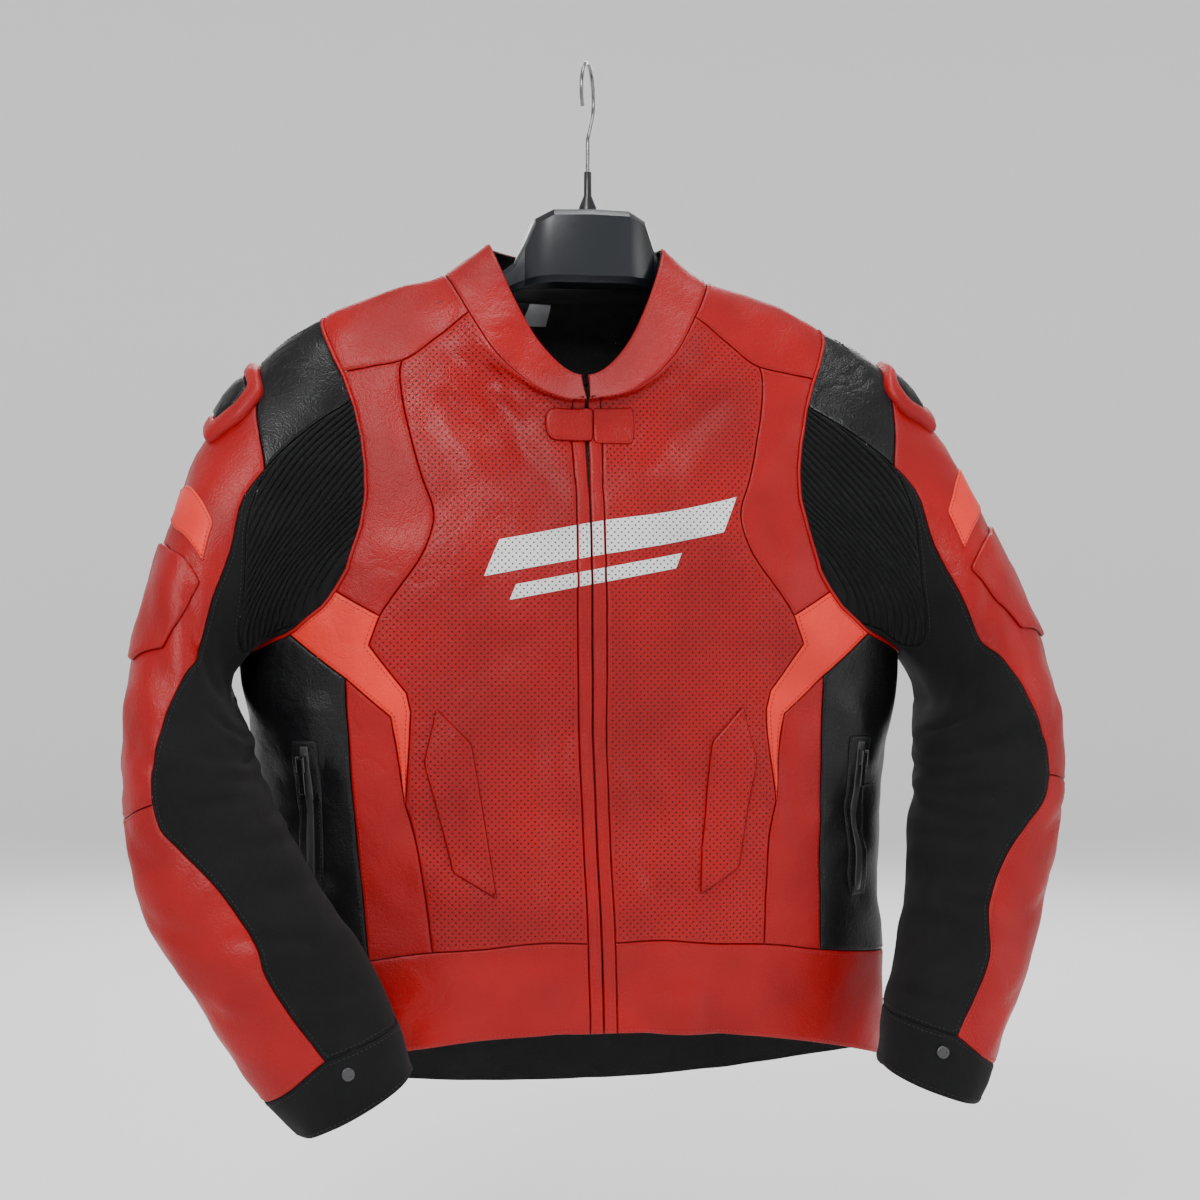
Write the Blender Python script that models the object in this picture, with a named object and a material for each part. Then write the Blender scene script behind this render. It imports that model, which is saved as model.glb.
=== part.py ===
"""Leather racing jacket on a moulded hanger, cut and sewn from panels.

Sizes are in millimetres and become metres when a mesh is made. +X is the wearer's
left, -Y is the front and +Z is up. The origin is the inside top of the hook.
"""
import math

import bmesh
import bpy
import numpy as np

MM = 0.001
LEATHER = 2.0
LINING = 1.0
SEAM_GAP = 0.3
LAID_ON = 0.4
JACKET_X = -10.0
AROUND_TORSO = 32
UP_TORSO = 16
AROUND_SLEEVE = 12
ALONG_SLEEVE = 16
UP_COLLAR = 2
FINE = 8
CUT_REACH = 0.006
RIB_REACH = 0.15
BORDER_CLEAR = 0.06
HALF_SLIT = 1.0
STRIP = 9.5
RIB_PITCH = 4.0
RIB_HEIGHT = 1.4
SLEEVE_SQUARENESS = 2.2
ARMHOLE_STEP = 15
BODY_CLEARANCE = 3.5
SLEEVE_START = (0.8, 0, -0.6)
DEGREES_PER_CENT = 5.2
RIB_COLUMNS = 10
CROWDED_STOP = 0.1
HANGER_CUT = 5.0

# Torso rings from hem to neck: height at the side, half width, depth in front, depth
# behind, rise at the centre front, rise at the centre back, squareness.
TORSO_RINGS = (
    (-794, 250, 90, 68, 38, -30, 2.35),
    (-712, 248, 92, 70, 18, -12, 2.35),
    (-640, 246, 92, 72, 4, -4, 2.35),
    (-550, 253, 92, 78, 0, 0, 2.35),
    (-470, 264, 91, 84, 0, 0, 2.35),
    (-395, 254, 88, 86, -8, 2, 2.35),
    (-325, 234, 80, 82, -34, 2, 2.3),
    (-262, 217, 70, 74, -62, 0, 2.3),
    (-210, 203, 60, 64, -84, -2, 2.25),
    (-193, 172, 60, 58, -90, -4, 2.2),
    (-180, 138, 62, 54, -95, -6, 2.15),
    (-171, 105, 70, 54, -102, -5, 2.5),
)

# Armhole, seen from the front or back: angle round the sleeve, face, x, z.
ARMHOLE = (
    (0, "F", 201, -207), (22, "F", 189, -245), (40, "F", 179, -273), (60, "F", 172, -303),
    (82, "F", 169, -335), (102, "F", 172, -366), (117, "F", 181, -398), (129, "F", 193, -420),
    (141, "F", 209, -441), (151, "F", 227, -453), (165, "F", 256, -466), (180, "S", 264, -470),
    (195, "B", 256, -464), (210, "B", 237, -449), (232, "B", 205, -418), (254, "B", 184, -370),
    (275, "B", 178, -325), (300, "B", 182, -285), (325, "B", 190, -248), (345, "B", 198, -222),
    (360, "F", 201, -207),
)

# Sleeve sections from shoulder to cuff: outer edge x, z, inner edge x, z, y of the
# middle, half depth.
SLEEVE_SECTIONS = {
    "right": (
        (-201, -206, -266, -470, 0, 60), (-232, -226, -272, -482, 0, 68),
        (-260, -248, -274, -492, -2, 74), (-288, -290, -273, -500, -6, 76),
        (-310, -350, -269, -507, -16, 74), (-330, -415, -263, -517, -34, 68),
        (-344, -476, -256, -527, -54, 62), (-349, -527, -249, -543, -72, 58),
        (-348, -574, -238, -568, -88, 54), (-341, -622, -224, -601, -101, 51),
        (-326, -666, -204, -637, -113, 48), (-300, -704, -182, -669, -124, 45),
        (-274, -744, -163, -703, -133, 42), (-248, -782, -147, -738, -140, 39),
        (-221, -808, -138, -763, -145, 36),
    ),
    "left": (
        (201, -207, 268, -469, 0, 60), (238, -226, 277, -484, 0, 70),
        (270, -247, 283, -494, -2, 76), (295, -286, 284, -502, -6, 78),
        (322, -345, 283, -509, -14, 76), (355, -412, 278, -517, -24, 70),
        (374, -468, 272, -530, -36, 65), (383, -516, 266, -549, -48, 60),
        (380, -567, 259, -577, -62, 56), (368, -621, 254, -612, -76, 52),
        (353, -666, 248, -644, -90, 49), (338, -707, 240, -677, -102, 46),
        (320, -743, 229, -709, -113, 43), (304, -772, 219, -742, -123, 40),
        (289, -804, 212, -775, -130, 38),
    ),
}

# Upper edge of the collar: half width, front depth, back depth, z at the side, rise at
# the centre front, rise at the centre back.
COLLAR_TOP = (70, 52, 50, -144, -108, -6)

# Folds in the body: face, x and z of each end, half width of the fold, height.
BODY_FOLDS = (
    ("F", -22, -470, -30, -690, 16, -4.0),
    ("F", -48, -500, -52, -690, 13, 3.0),
    ("F", 34, -500, 52, -680, 15, -4.0),
    ("F", 62, -560, 66, -690, 12, 3.0),
    ("F", -88, -250, -40, -330, 12, -3.0),
    ("F", -118, -300, -52, -360, 12, 2.5),
    ("F", 96, -260, 60, -330, 13, -2.5),
    ("F", -150, -620, -60, -672, 14, 3.0),
    ("F", 60, -724, 60, -800, 22, 7.0),
    ("F", -60, -716, -100, -800, 26, -3.0),
    ("F", 205, -500, 228, -560, 16, 4.0),
    ("F", -205, -500, -228, -560, 16, 4.0),
    ("B", -60, -560, -150, -640, 20, -4.0),
    ("B", 60, -560, 150, -640, 20, -4.0),
    ("B", -120, -300, -60, -420, 18, 3.0),
    ("B", 120, -300, 60, -420, 18, 3.0),
)

# Folds in the sleeves: sleeve, angle and per cent of the length at each end, half
# width in degrees round, height.
SLEEVE_FOLDS = (
    ("right", 120, 40, 215, 46, 11, -4.0), ("right", 110, 47, 225, 50, 11, -5.0),
    ("right", 120, 55, 215, 54, 11, -4.0), ("right", 60, 22, 130, 28, 14, -3.5),
    ("right", 20, 30, 80, 36, 14, -3.0), ("right", 150, 72, 240, 78, 12, -3.0),
    ("left", 120, 41, 215, 45, 11, -4.0), ("left", 110, 48, 225, 50, 11, -5.0),
    ("left", 120, 56, 215, 55, 11, -4.0), ("left", 70, 24, 130, 30, 14, -3.5),
    ("left", 100, 66, 200, 70, 12, -3.5), ("left", 90, 80, 190, 84, 12, -3.0),
)

# Named corners of the body panels, wearer's left half: face, x, z.
PLACES = {
    "neck slit": ("F", HALF_SLIT, "neck"), "neck strip": ("F", HALF_SLIT + STRIP, "neck"),
    "neck yoke": ("F", 90, "neck"), "neck back": ("B", 78, "neck"),
    "yoke princess": ("F", 141, -243), "yoke armhole": 26,
    "back yoke armhole": 325, "flash armhole": 129, "flash tip armhole": 151,
    "back side armhole": 232,
    "flash inner": ("F", 160, -439), "flash side": ("F", 185, -486),
    "flash point": ("F", 143, -581),
    "hem slit": ("F", HALF_SLIT, "hem"), "hem strip": ("F", HALF_SLIT + STRIP, "hem"),
    "band strip": ("F", HALF_SLIT + STRIP, -687), "band princess": ("F", 128, -692),
    "band side": ("F", 175, -699), "band middle": ("S", 0, -708), "band back": ("B", 180, -716),
    "hem middle": ("S", 0, "hem"),
}

# Body seams: kind, then the corners and points that each passes through.
SEAMS = {
    "strip": ("line", "neck strip", ("F", HALF_SLIT + STRIP, -340), ("F", HALF_SLIT + STRIP, -520),
              "band strip", "hem strip"),
    "slit": ("line", "neck slit", ("F", HALF_SLIT, -340), ("F", HALF_SLIT, -520), "hem slit"),
    "yoke": ("curve", "neck yoke", ("F", 112, -222), "yoke princess", ("F", 166, -248), "yoke armhole"),
    "back yoke": ("curve", "neck back", ("B", 130, -214), "back yoke armhole"),
    "princess": ("curve", "yoke princess", ("F", 142, -265), ("F", 138, -290), ("F", 127, -335),
                 ("F", 119, -361), ("F", 124, -384), "flash inner"),
    "flash top": ("line", "flash armhole", "flash inner"),
    "flash in": ("line", "flash inner", ("F", 168, -461), ("F", 140, -497), ("F", 137, -511), "flash point"),
    "flash out": ("line", "flash point", ("F", 152, -515), "flash side"),
    "flash low": ("line", "flash side", "flash tip armhole"),
    "low princess": ("curve", "flash point", ("F", 136, -610), ("F", 132, -645), "band princess"),
    "side": ("curve", "flash side", ("F", 182, -560), ("F", 178, -640), "band side"),
    "back side": ("curve", "back side armhole", ("B", 202, -480), ("B", 190, -560), ("B", 183, -640),
                  "band back"),
    "band": ("curve", "band strip", ("F", 45, -686), ("F", 90, -690), "band princess", "band side",
             "band middle", "band back", ("B", 100, -722), ("B", 0, -724)),
}

# Outlines of the body panels: seams, or edges at the neck and hem, with their ends.
PANELS = {
    "front_strip": (("edge", "neck slit", "neck strip"), ("strip", "neck strip", "hem strip"),
                    ("edge", "hem strip", "hem slit"), ("slit", "hem slit", "neck slit")),
    "front_panel": (("edge", "neck strip", "neck yoke"), ("yoke", "neck yoke", "yoke princess"),
                    ("princess", "yoke princess", "flash inner"), ("flash in", "flash inner", "flash point"),
                    ("low princess", "flash point", "band princess"),
                    ("band", "band princess", "band strip"), ("strip", "band strip", "neck strip")),
    "yoke": (("edge", "neck yoke", "neck back"), ("back yoke", "neck back", "back yoke armhole"),
             ("armhole", "back yoke armhole", "yoke armhole"), ("yoke", "yoke armhole", "neck yoke")),
    "chest_side": (("yoke", "yoke princess", "yoke armhole"), ("armhole", "yoke armhole", "flash armhole"),
                   ("flash top", "flash armhole", "flash inner"), ("princess", "flash inner", "yoke princess")),
    "flash": (("armhole", "flash armhole", "flash tip armhole"), ("flash low", "flash tip armhole", "flash side"),
              ("flash out", "flash side", "flash point"), ("flash in", "flash point", "flash inner"),
              ("flash top", "flash inner", "flash armhole")),
    "waist_side": (("flash out", "flash point", "flash side"), ("side", "flash side", "band side"),
                   ("band", "band side", "band princess"), ("low princess", "band princess", "flash point")),
    "side_panel": (("armhole", "flash tip armhole", "back side armhole"),
                   ("back side", "back side armhole", "band back"), ("band", "band back", "band side"),
                   ("side", "band side", "flash side"), ("flash low", "flash side", "flash tip armhole")),
    "hem_band": (("band", "band strip", "band middle"), ("edge", "band middle", "hem middle"),
                 ("edge", "hem middle", "hem strip"), ("strip", "hem strip", "band strip")),
}

# Sleeve seams: angle round the sleeve and per cent of its length.
SLEEVE_SEAMS = {
    "shoulder front": ((40, 0), (52, 5), (66, 11)),
    "shoulder low": ((66, 11), (36, 11.5), (0, 10.5), (-40, 12), (-80, 13)),
    "shoulder back": ((-80, 13), (-72, 6), (-60, 0)),
    "rib edge": ((66, 11), (84, 13), (104, 13), (128, 12.5), (143, 8), (145, 0)),
    "front upper": ((66, 11), (70, 13), (86, 15), (94, 20), (95, 26), (85, 32), (71, 40), (60, 47), (58, 51)),
    "front lower": ((58, 51), (62, 54), (74, 57), (86, 61), (93, 67), (93, 73), (89, 76), (88, 83), (92, 91)),
    "elbow": ((58, 51), (0, 54), (-60, 53), (-112, 51)),
    "back upper": ((-135, 0), (-120, 20), (-112, 35), (-112, 51)),
    "back lower": ((-112, 51), (-108, 70), (-104, 92)),
    "wrist outer": ((92, 91), (60, 93), (26, 94), (-40, 93), (-104, 92)),
    "wrist inner": ((-104, 92), (-140, 92), (-180, 92)),
    "wrist front": ((180, 92), (130, 91.5), (92, 91)),
    "cuff edge": ((-180, 92), (-180, 100), (0, 100), (180, 100), (180, 92)),
}

# Sleeve panels: seams with the way they run and a turn in degrees, or armhole stretches.
SLEEVE_PANELS = {
    "shoulder": (("armhole", -60, 40), ("shoulder front", 1, 0), ("shoulder low", 1, 0),
                 ("shoulder back", 1, 0)),
    "rib_panel": (("armhole", 40, 145), ("rib edge", -1, 0), ("shoulder front", -1, 0)),
    "inner_sleeve": (("rib edge", 1, 0), ("armhole", 145, 225), ("back upper", 1, 360),
                     ("back lower", 1, 360), ("wrist inner", 1, 360), ("wrist front", 1, 0),
                     ("front lower", -1, 0), ("front upper", -1, 0)),
    "upper_sleeve": (("front upper", 1, 0), ("elbow", 1, 0), ("back upper", -1, 0), ("armhole", -135, -60),
                     ("shoulder back", -1, 0), ("shoulder low", -1, 0)),
    "forearm": (("elbow", -1, 0), ("front lower", 1, 0), ("wrist outer", 1, 0), ("back lower", -1, 0)),
    "cuff": (("wrist front", 1, 0), ("wrist outer", 1, 0), ("wrist inner", 1, 0), ("cuff edge", 1, 0)),
}

SLEEVE_LOOKS = {
    "shoulder": "black leather", "rib_panel": "black stretch", "inner_sleeve": "black stretch",
    "upper_sleeve": "red leather", "forearm": "red leather", "cuff": "black leather",
}

# Place of each point of the armhole across the ribs: angle, millimetres.
RIB_RISE = ((0, 350), (22, 383), (40, 411), (60, 435), (82, 457), (102, 475), (117, 488), (129, 492),
            (141, 488), (151, 474), (180, 454), (210, 430))
RIB_FALL = 3.7

# Patches laid on the sleeve: angle and per cent of each corner.
ARM_FLASH = ((67, 16.6), (40, 18.2), (0, 20.4), (-50, 19.5), (-50, 22.5), (0, 23.4), (32, 22.4), (75, 19))
ELBOW_PATCH = ((80, 20), (70, 27), (58, 32), (20, 36), (-20, 37), (-55, 36), (-55, 25), (0, 25.5), (36, 24))
CAP_OUTER = ((28, 10.6), (34, 12.6), (22, 16.2), (-22, 16.2), (-34, 12.6), (-28, 10.6))
CAP_INNER = ((17, 11.7), (21, 12.9), (13, 14.9), (-13, 14.9), (-21, 12.9), (-17, 11.7))
CAP_PLATE = ((16, 11.8), (19.6, 12.9), (12, 14.8), (-12, 14.8), (-19.6, 12.9), (-16, 11.8))
SNAP_PLACE = (101, 94)

# Patches laid on the front, wearer's left: x and z of each corner.
VENT = ((118, -508), (92, -535), (87, -570), (78, -652), (110, -632), (128, -549))
STRAP_TAB = ((4.6, -279), (-27, -279), (-32, -284), (-32, -300), (-27, -305), (4.6, -305))
STRAP_BASE = ((5, -279), (36, -278), (36, -306), (5, -306))
POCKET_X = 215
POCKET_TOP = -533
POCKET_LOW = -660
WELT = 18
CHAIN = 6

# Hanger head, from the middle outwards: x, top, bottom, half depth.
HANGER_HEAD = ((0, -118, -176, 24), (30, -119, -176, 24), (44, -126, -177, 19), (52, -145, -179, 12),
               (60, -160, -182, 11), (72, -169, -188, 12), (92, -181, -198, 12), (116, -188, -205, 11),
               (130, -190, -207, 10))
HANGER_DEPTH = 13.0

# Hook and its socket.
WIRE = 1.6
HOOK_RADIUS = 23.0
HOOK_TURN = 70.0
SOCKET = ((2.0, -117.6), (7.5, -117.6), (7.0, -113), (3.2, -104), (3.0, -85), (2.0, -85))


def smooth(knots, rows, at):
    """Cubic curve through the rows of a table, one row for each knot."""
    knots = np.asarray(knots, float)
    rows = np.asarray(rows, float)
    slope = np.gradient(rows, knots, axis=0)
    i = np.clip(np.searchsorted(knots, at, side="right") - 1, 0, len(knots) - 2)
    span = (knots[i + 1] - knots[i])[:, None]
    u = (np.asarray(at, float) - knots[i])[:, None] / span
    return ((2*u**3 - 3*u**2 + 1)*rows[i] + (u**3 - 2*u**2 + u)*span*slope[i]
            + (3*u**2 - 2*u**3)*rows[i + 1] + (u**3 - u**2)*span*slope[i + 1])


def running_length(points):
    """Distance along a row of points, starting at nought."""
    steps = np.linalg.norm(np.diff(points, axis=0), axis=1)
    return np.concatenate([[0], np.cumsum(steps)])


def evenly(points, count):
    """The same curve with points the same distance apart."""
    length = running_length(points)
    at = np.linspace(0, length[-1], count)
    return np.stack([np.interp(at, length, points[:, i]) for i in range(3)], 1)


def ease(value):
    """Nought to one with a level start and end."""
    value = np.clip(value, 0, 1)
    return value*value*(3 - 2*value)


def half_ring(half_width, front, back, side, front_rise, back_rise, squareness):
    """Half a ring of the torso from centre front to centre back."""
    angle = np.linspace(-math.pi/2, math.pi/2, 721)
    across, along = np.clip(np.cos(angle), 0, 1), np.sin(angle)
    power = 2/squareness
    return np.stack([half_width*across**power,
                     np.where(along < 0, -front, back)*np.abs(along)**power,
                     side + np.where(along < 0, front_rise, back_rise)*along**2], 1)


def torso_half():
    """Fine grid of the left half of the torso, hem to neck and front to back."""
    rows = np.array(TORSO_RINGS, float)
    profile = np.stack([rows[:, 1]*0.8, rows[:, 0] + rows[:, 4]*0.4], 1)
    knots = running_length(profile)
    at = np.linspace(0, knots[-1], UP_TORSO*FINE + 1)
    rings = [half_ring(w, f, b, z, df, db, n) for z, w, f, b, df, db, n in smooth(knots, rows, at)]
    return np.array([evenly(ring, AROUND_TORSO//2*FINE + 1) for ring in rings])


def grid_normals(points):
    """Unit normals of a grid of points, its rows closed round."""
    around = np.roll(points, -1, 1) - np.roll(points, 1, 1)
    along = np.gradient(points, axis=0)
    normal = np.cross(around, along)
    return normal/np.linalg.norm(normal, axis=2)[..., None]


def along_line(x, z, x0, z0, x1, z1):
    """Place along a line, nought to one, and the distance from it."""
    run = np.array([x1 - x0, z1 - z0], float)
    length = np.linalg.norm(run)
    place = ((x - x0)*run[0] + (z - z0)*run[1])/length**2
    nearest = np.clip(place, 0, 1)
    away = np.hypot(x - x0 - nearest*run[0], z - z0 - nearest*run[1])
    return place, away


def unit(vectors):
    """The same directions one long."""
    return vectors/np.linalg.norm(vectors, axis=1)[:, None]


class Surface:
    """A grid of points and normals with lattice places (a, b) between them."""

    def __init__(self, fine, handed=1):
        self.handed = handed
        self.points = fine[::FINE, ::FINE]
        self.normals = grid_normals(fine)[::FINE, ::FINE]*handed
        self.rows, self.columns = self.points.shape[:2]
        self.first_row = None
        self.first_normal = None

    def blend(self, grid, a, b):
        column = np.floor(a).astype(int)
        row = np.clip(np.floor(b).astype(int), 0, self.rows - 2)
        u, v = (a - column)[:, None], (b - row)[:, None]
        here, beside = column % self.columns, (column + 1) % self.columns
        turned = column//(self.columns//2) % 2 == 1
        u = np.where(turned[:, None], 1 - u, u)
        here, beside = np.where(turned, beside, here), np.where(turned, here, beside)
        low, high = grid[row, here], grid[row + 1, beside]
        right, left = grid[row, beside], grid[row + 1, here]
        below = low + u*(right - low) + v*(left - low)
        above = high + (1 - u)*(left - high) + (1 - v)*(right - high)
        return np.where(u + v <= 1, below, above)

    def seated_rows(self, a):
        """Rows over which a sleeve leaves its armhole, more of them under the arm."""
        return 1 + 2*np.clip(-np.cos(a*2*math.pi/self.columns), 0, 1)

    def at(self, a, b):
        """Points and unit normals at the lattice places a, b."""
        a, b = np.atleast_1d(np.asarray(a, float)), np.atleast_1d(np.asarray(b, float))
        point = self.blend(self.points, a, b)
        normal = self.blend(self.normals, a, b)
        if self.first_row is not None:
            seat = self.first_row(a) - self.blend(self.points, a, np.zeros_like(b))
            point = point + np.clip(1 - b/self.seated_rows(a), 0, 1)[:, None]*seat
        normal = unit(normal)
        if self.first_normal is not None:
            turn = self.first_normal(a) - unit(self.blend(self.normals, a, np.zeros_like(b)))
            normal = normal + np.clip(1 - b, 0, 1)[:, None]*turn
        return point, normal


def body_folds(points, normals):
    """Height of the folds at each point of the torso."""
    height = np.zeros(points.shape[:2])
    x, y, z = points[..., 0], points[..., 1], points[..., 2]
    for face, x0, z0, x1, z1, width, depth in BODY_FOLDS:
        place, away = along_line(x, z, x0, z0, x1, z1)
        taper = ease(np.minimum(place, 1 - place)*3 + 0.35)
        same_face = ease((-y if face == "F" else y)/18)
        height += depth*np.exp(-(away/width)**2)*taper*same_face
    return height


def centre_drift(points):
    """Sideways swing of the front below the chest, where the zip hangs to one side."""
    down = ease((-500 - points[..., 2])/270)
    front = ease(-points[..., 1]/70)
    return 9*down*front


def torso_surface(half):
    """Whole torso with its folds, closed round, from centre front round by the left."""
    mirrored = half[:, -2:0:-1]*np.array([-1, 1, 1])
    points = np.concatenate([half, mirrored], 1)
    normals = grid_normals(points)
    points = points + normals*body_folds(points, normals)[..., None]
    points[..., 0] += centre_drift(points)
    return Surface(points)


def find(half, face, x, z):
    """Lattice place of a point given in front, side or back view on the left half."""
    middle = half.shape[1]//2
    if z == "neck" or z == "hem":
        row = half.shape[0] - 1 if z == "neck" else 0
        if face == "S":
            return middle/FINE, row/FINE
        columns = np.arange(0, middle + 1) if face == "F" else np.arange(half.shape[1] - 1, middle - 1, -1)
        across = half[row, columns, 0]
        return np.interp(x, across, columns)/FINE, row/FINE
    if face == "S":
        heights = half[:, middle, 2]
        return middle/FINE, np.interp(z, heights, np.arange(len(heights)))/FINE
    columns = slice(0, middle + 1) if face == "F" else slice(middle, half.shape[1])
    grid = half[:, columns]
    away = (grid[..., 0] - x)**2 + (grid[..., 2] - z)**2
    row, column = np.unravel_index(np.argmin(away), away.shape)
    row = min(max(row, 1), grid.shape[0] - 2)
    column = min(max(column, 1), grid.shape[1] - 2)
    u = (grid[row, column + 1] - grid[row, column - 1])[[0, 2]]/2
    v = (grid[row + 1, column] - grid[row - 1, column])[[0, 2]]/2
    miss = np.array([x, z]) - grid[row, column][[0, 2]]
    step = np.linalg.lstsq(np.stack([u, v], 1), miss, rcond=None)[0]
    step = np.clip(step, -2, 2)
    start = 0 if face == "F" else middle
    return max(start + column + step[0], 0)/FINE, (row + step[1])/FINE


def corner_angles():
    """Angles round the armhole where panels of the body or the sleeve meet."""
    corners = [value for value in PLACES.values() if isinstance(value, int)]
    corners += [runs[0][1] % 360 for runs in SLEEVE_PANELS.values() if runs[0][0] == "armhole"]
    return sorted(set(range(0, 361, ARMHOLE_STEP)) | set(corners) | {40})


def armhole_path(half):
    """Lattice place of the armhole at an angle, and the angles where it bends."""
    angles = [row[0] for row in ARMHOLE]
    knots = np.array([find(half, face, x, z) for _, face, x, z in ARMHOLE])
    bends = corner_angles()
    places = smooth(angles, knots, bends)
    stops = set(bends)
    for i in range(len(bends) - 1):
        for across, along in ((1, 0), (0, 1), (1, 1)):
            ends = sorted(float(place @ (across, along)) for place in places[i:i + 2])
            first, last = (float(place @ (across, along)) for place in places[i:i + 2])
            for value in range(math.ceil(ends[0]), math.floor(ends[1]) + 1):
                stops.add(bends[i] + (bends[i + 1] - bends[i])*(value - first)/(last - first))

    def path(angle):
        turned = np.mod(np.atleast_1d(angle), 360)
        return np.stack([np.interp(turned, bends, places[:, c]) for c in (0, 1)], 1)
    return path, spread(sorted(stops), bends)


def spread(stops, kept):
    """The stops without those that crowd the one before, never losing a kept one."""
    result = []
    for stop in stops:
        if result and stop - result[-1] < CROWDED_STOP:
            if stop in kept:
                result[-1] = stop
            continue
        result.append(stop)
    return result


def armhole_angles(stops, start, end):
    """Angles of the shared points between two corners, the short way round."""
    if abs(end - start) > 180:
        start, end = (start, end + 360) if start > end else (start + 360, end)
    low, high = min(start, end), max(start, end)
    every = {stop + turn for stop in stops for turn in (0, 360)}
    inner = sorted(stop for stop in every if low < stop < high)
    whole = [low] + inner + [high]
    return whole if start < end else whole[::-1]


def curve_through(places, kind):
    """Lattice places along a seam, with every given place kept."""
    knots = running_length(places)
    result = [places[0]]
    for i in range(len(places) - 1):
        count = max(1, round(knots[i + 1] - knots[i]))
        at = np.linspace(knots[i], knots[i + 1], count + 1)[1:]
        if kind == "curve" and len(places) > 2:
            result.extend(smooth(knots, places, at))
        else:
            result.extend(np.stack([np.interp(at, knots, places[:, c]) for c in (0, 1)], 1))
    return np.array(result)


class Cutter:
    """Works out the outlines of the body panels from the seams and corners."""

    def __init__(self, half):
        self.half = half
        self.armhole, self.stops = armhole_path(half)
        self.seams = {}
        for name, (kind, *stops) in SEAMS.items():
            self.seams[name] = self.lay(kind, stops)

    def place(self, stop):
        value = PLACES[stop] if isinstance(stop, str) else stop
        if isinstance(value, int):
            return self.armhole(value)[0]
        return np.array(find(self.half, *value))

    def lay(self, kind, stops):
        places = np.array([self.place(stop) for stop in stops])
        knots = [tuple(np.round(place, 6)) for place in places]
        line = curve_through(places, kind)
        marks = {}
        for stop, knot in zip(stops, knots):
            if isinstance(stop, str):
                marks[stop] = int(np.argmin(np.linalg.norm(line - np.array(knot), axis=1)))
        return line, marks

    def run(self, seam, start, end):
        if seam == "edge":
            return self.lay("line", (start, end))[0]
        if seam == "armhole":
            angles = armhole_angles(self.stops, PLACES[start], PLACES[end])
            return self.armhole(np.array(angles, float))
        line, marks = self.seams[seam]
        first, last = marks[start], marks[end]
        return line[first:last + 1] if first < last else line[last:first + 1][::-1]

    def outline(self, runs):
        places = []
        for seam, start, end in runs:
            places.extend(self.run(seam, start, end)[:-1])
        return np.array(places)


def sleeve_surface(side, cutter, torso):
    """One sleeve from its armhole to its cuff, closed round, with its folds."""
    sign = -1 if side == "right" else 1
    rows = np.array(SLEEVE_SECTIONS[side], float)
    middle = np.stack([(rows[:, 0] + rows[:, 2])/2, rows[:, 4], (rows[:, 1] + rows[:, 3])/2], 1)
    knots = running_length(middle)
    at = np.linspace(0, knots[-1], ALONG_SLEEVE*FINE + 1)
    angle = np.arange(AROUND_SLEEVE*FINE)*360/(AROUND_SLEEVE*FINE)
    across, front = np.cos(np.radians(angle)), np.sin(np.radians(angle))
    power = 2/SLEEVE_SQUARENESS
    across = np.sign(across)*np.abs(across)**power
    front = np.sign(front)*np.abs(front)**power
    forward = np.array([0, -1.0, -0.12])
    start = armhole_point(angle, sign, cutter, torso)
    sooner = 1 - 0.6*np.clip(-np.cos(np.radians(angle)), 0, 1)
    points = []
    for place, row in zip(at, smooth(knots, rows, at)):
        centre = np.array([(row[0] + row[2])/2, row[4], (row[1] + row[3])/2])
        half = np.array([row[0] - row[2], 0, row[1] - row[3]])/2
        ring = centre + np.outer(across, half) + np.outer(row[5]*front, forward)
        share = (math.sin(math.pi/2*min(1, place/knots[4]))**sooner)[:, None]
        points.append((1 - share)*start + share*ring)
    points = clear_of_body(np.array(points), cutter.half)
    normals = grid_normals(points)*sign
    points = points + normals*sleeve_folds(side, angle, at/knots[-1]*100)[..., None]
    surface = Surface(points, handed=sign)
    surface.first_row = lambda a: armhole_point(a*360/AROUND_SLEEVE, sign, cutter, torso)
    axis = np.array(SLEEVE_START)*(sign, 1, 1)

    def first_normal(a):
        radial = surface.first_row(a) - middle[0]
        return unit(radial - (radial @ axis)[:, None]*axis)
    surface.first_normal = first_normal
    return surface


def armhole_point(angle, sign, cutter, torso):
    """Points of the armhole, where body and sleeve meet."""
    places = cutter.armhole(angle)
    across = places[:, 0] if sign > 0 else AROUND_TORSO - places[:, 0]
    return torso.at(across, places[:, 1])[0]


def sleeve_folds(side, angle, per_cent):
    """Height of the folds at each point of a sleeve."""
    turn, down = np.meshgrid(angle, per_cent)
    height = np.zeros(turn.shape)
    for sleeve, a0, p0, a1, p1, width, depth in SLEEVE_FOLDS:
        if sleeve == side:
            place, away = along_line(turn, down*DEGREES_PER_CENT, a0, p0*DEGREES_PER_CENT,
                                     a1, p1*DEGREES_PER_CENT)
            taper = ease(np.minimum(place, 1 - place)*3 + 0.3)
            height += depth*np.exp(-(away/width)**2)*taper
    return height


def clear_of_body(points, half):
    """Push what would touch the body out to a small clearance, below the armhole."""
    sides = half[:, half.shape[1]//2, 2]
    x, y, z = points[..., 0], points[..., 1], points[..., 2]
    ring = half[np.clip(np.searchsorted(sides, z), 0, len(sides) - 1)]
    wanted = np.arctan2(-y, np.abs(x))
    given = np.arctan2(-ring[..., 1], ring[..., 0])
    nearest = np.argmin(np.abs(given - wanted[..., None]), axis=-1)
    body = np.take_along_axis(ring, nearest[..., None, None], axis=-2)[..., 0, :]
    radius = np.hypot(x, y)
    gap = radius - np.hypot(body[..., 0], body[..., 1])
    ramp = np.clip((-452 - z)/25, 0, 1)
    push = np.clip(BODY_CLEARANCE*ramp - gap, 0, None)*ramp
    moved = points.copy()
    moved[..., 0] += push*x/radius
    moved[..., 1] += push*y/radius
    return moved


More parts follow.
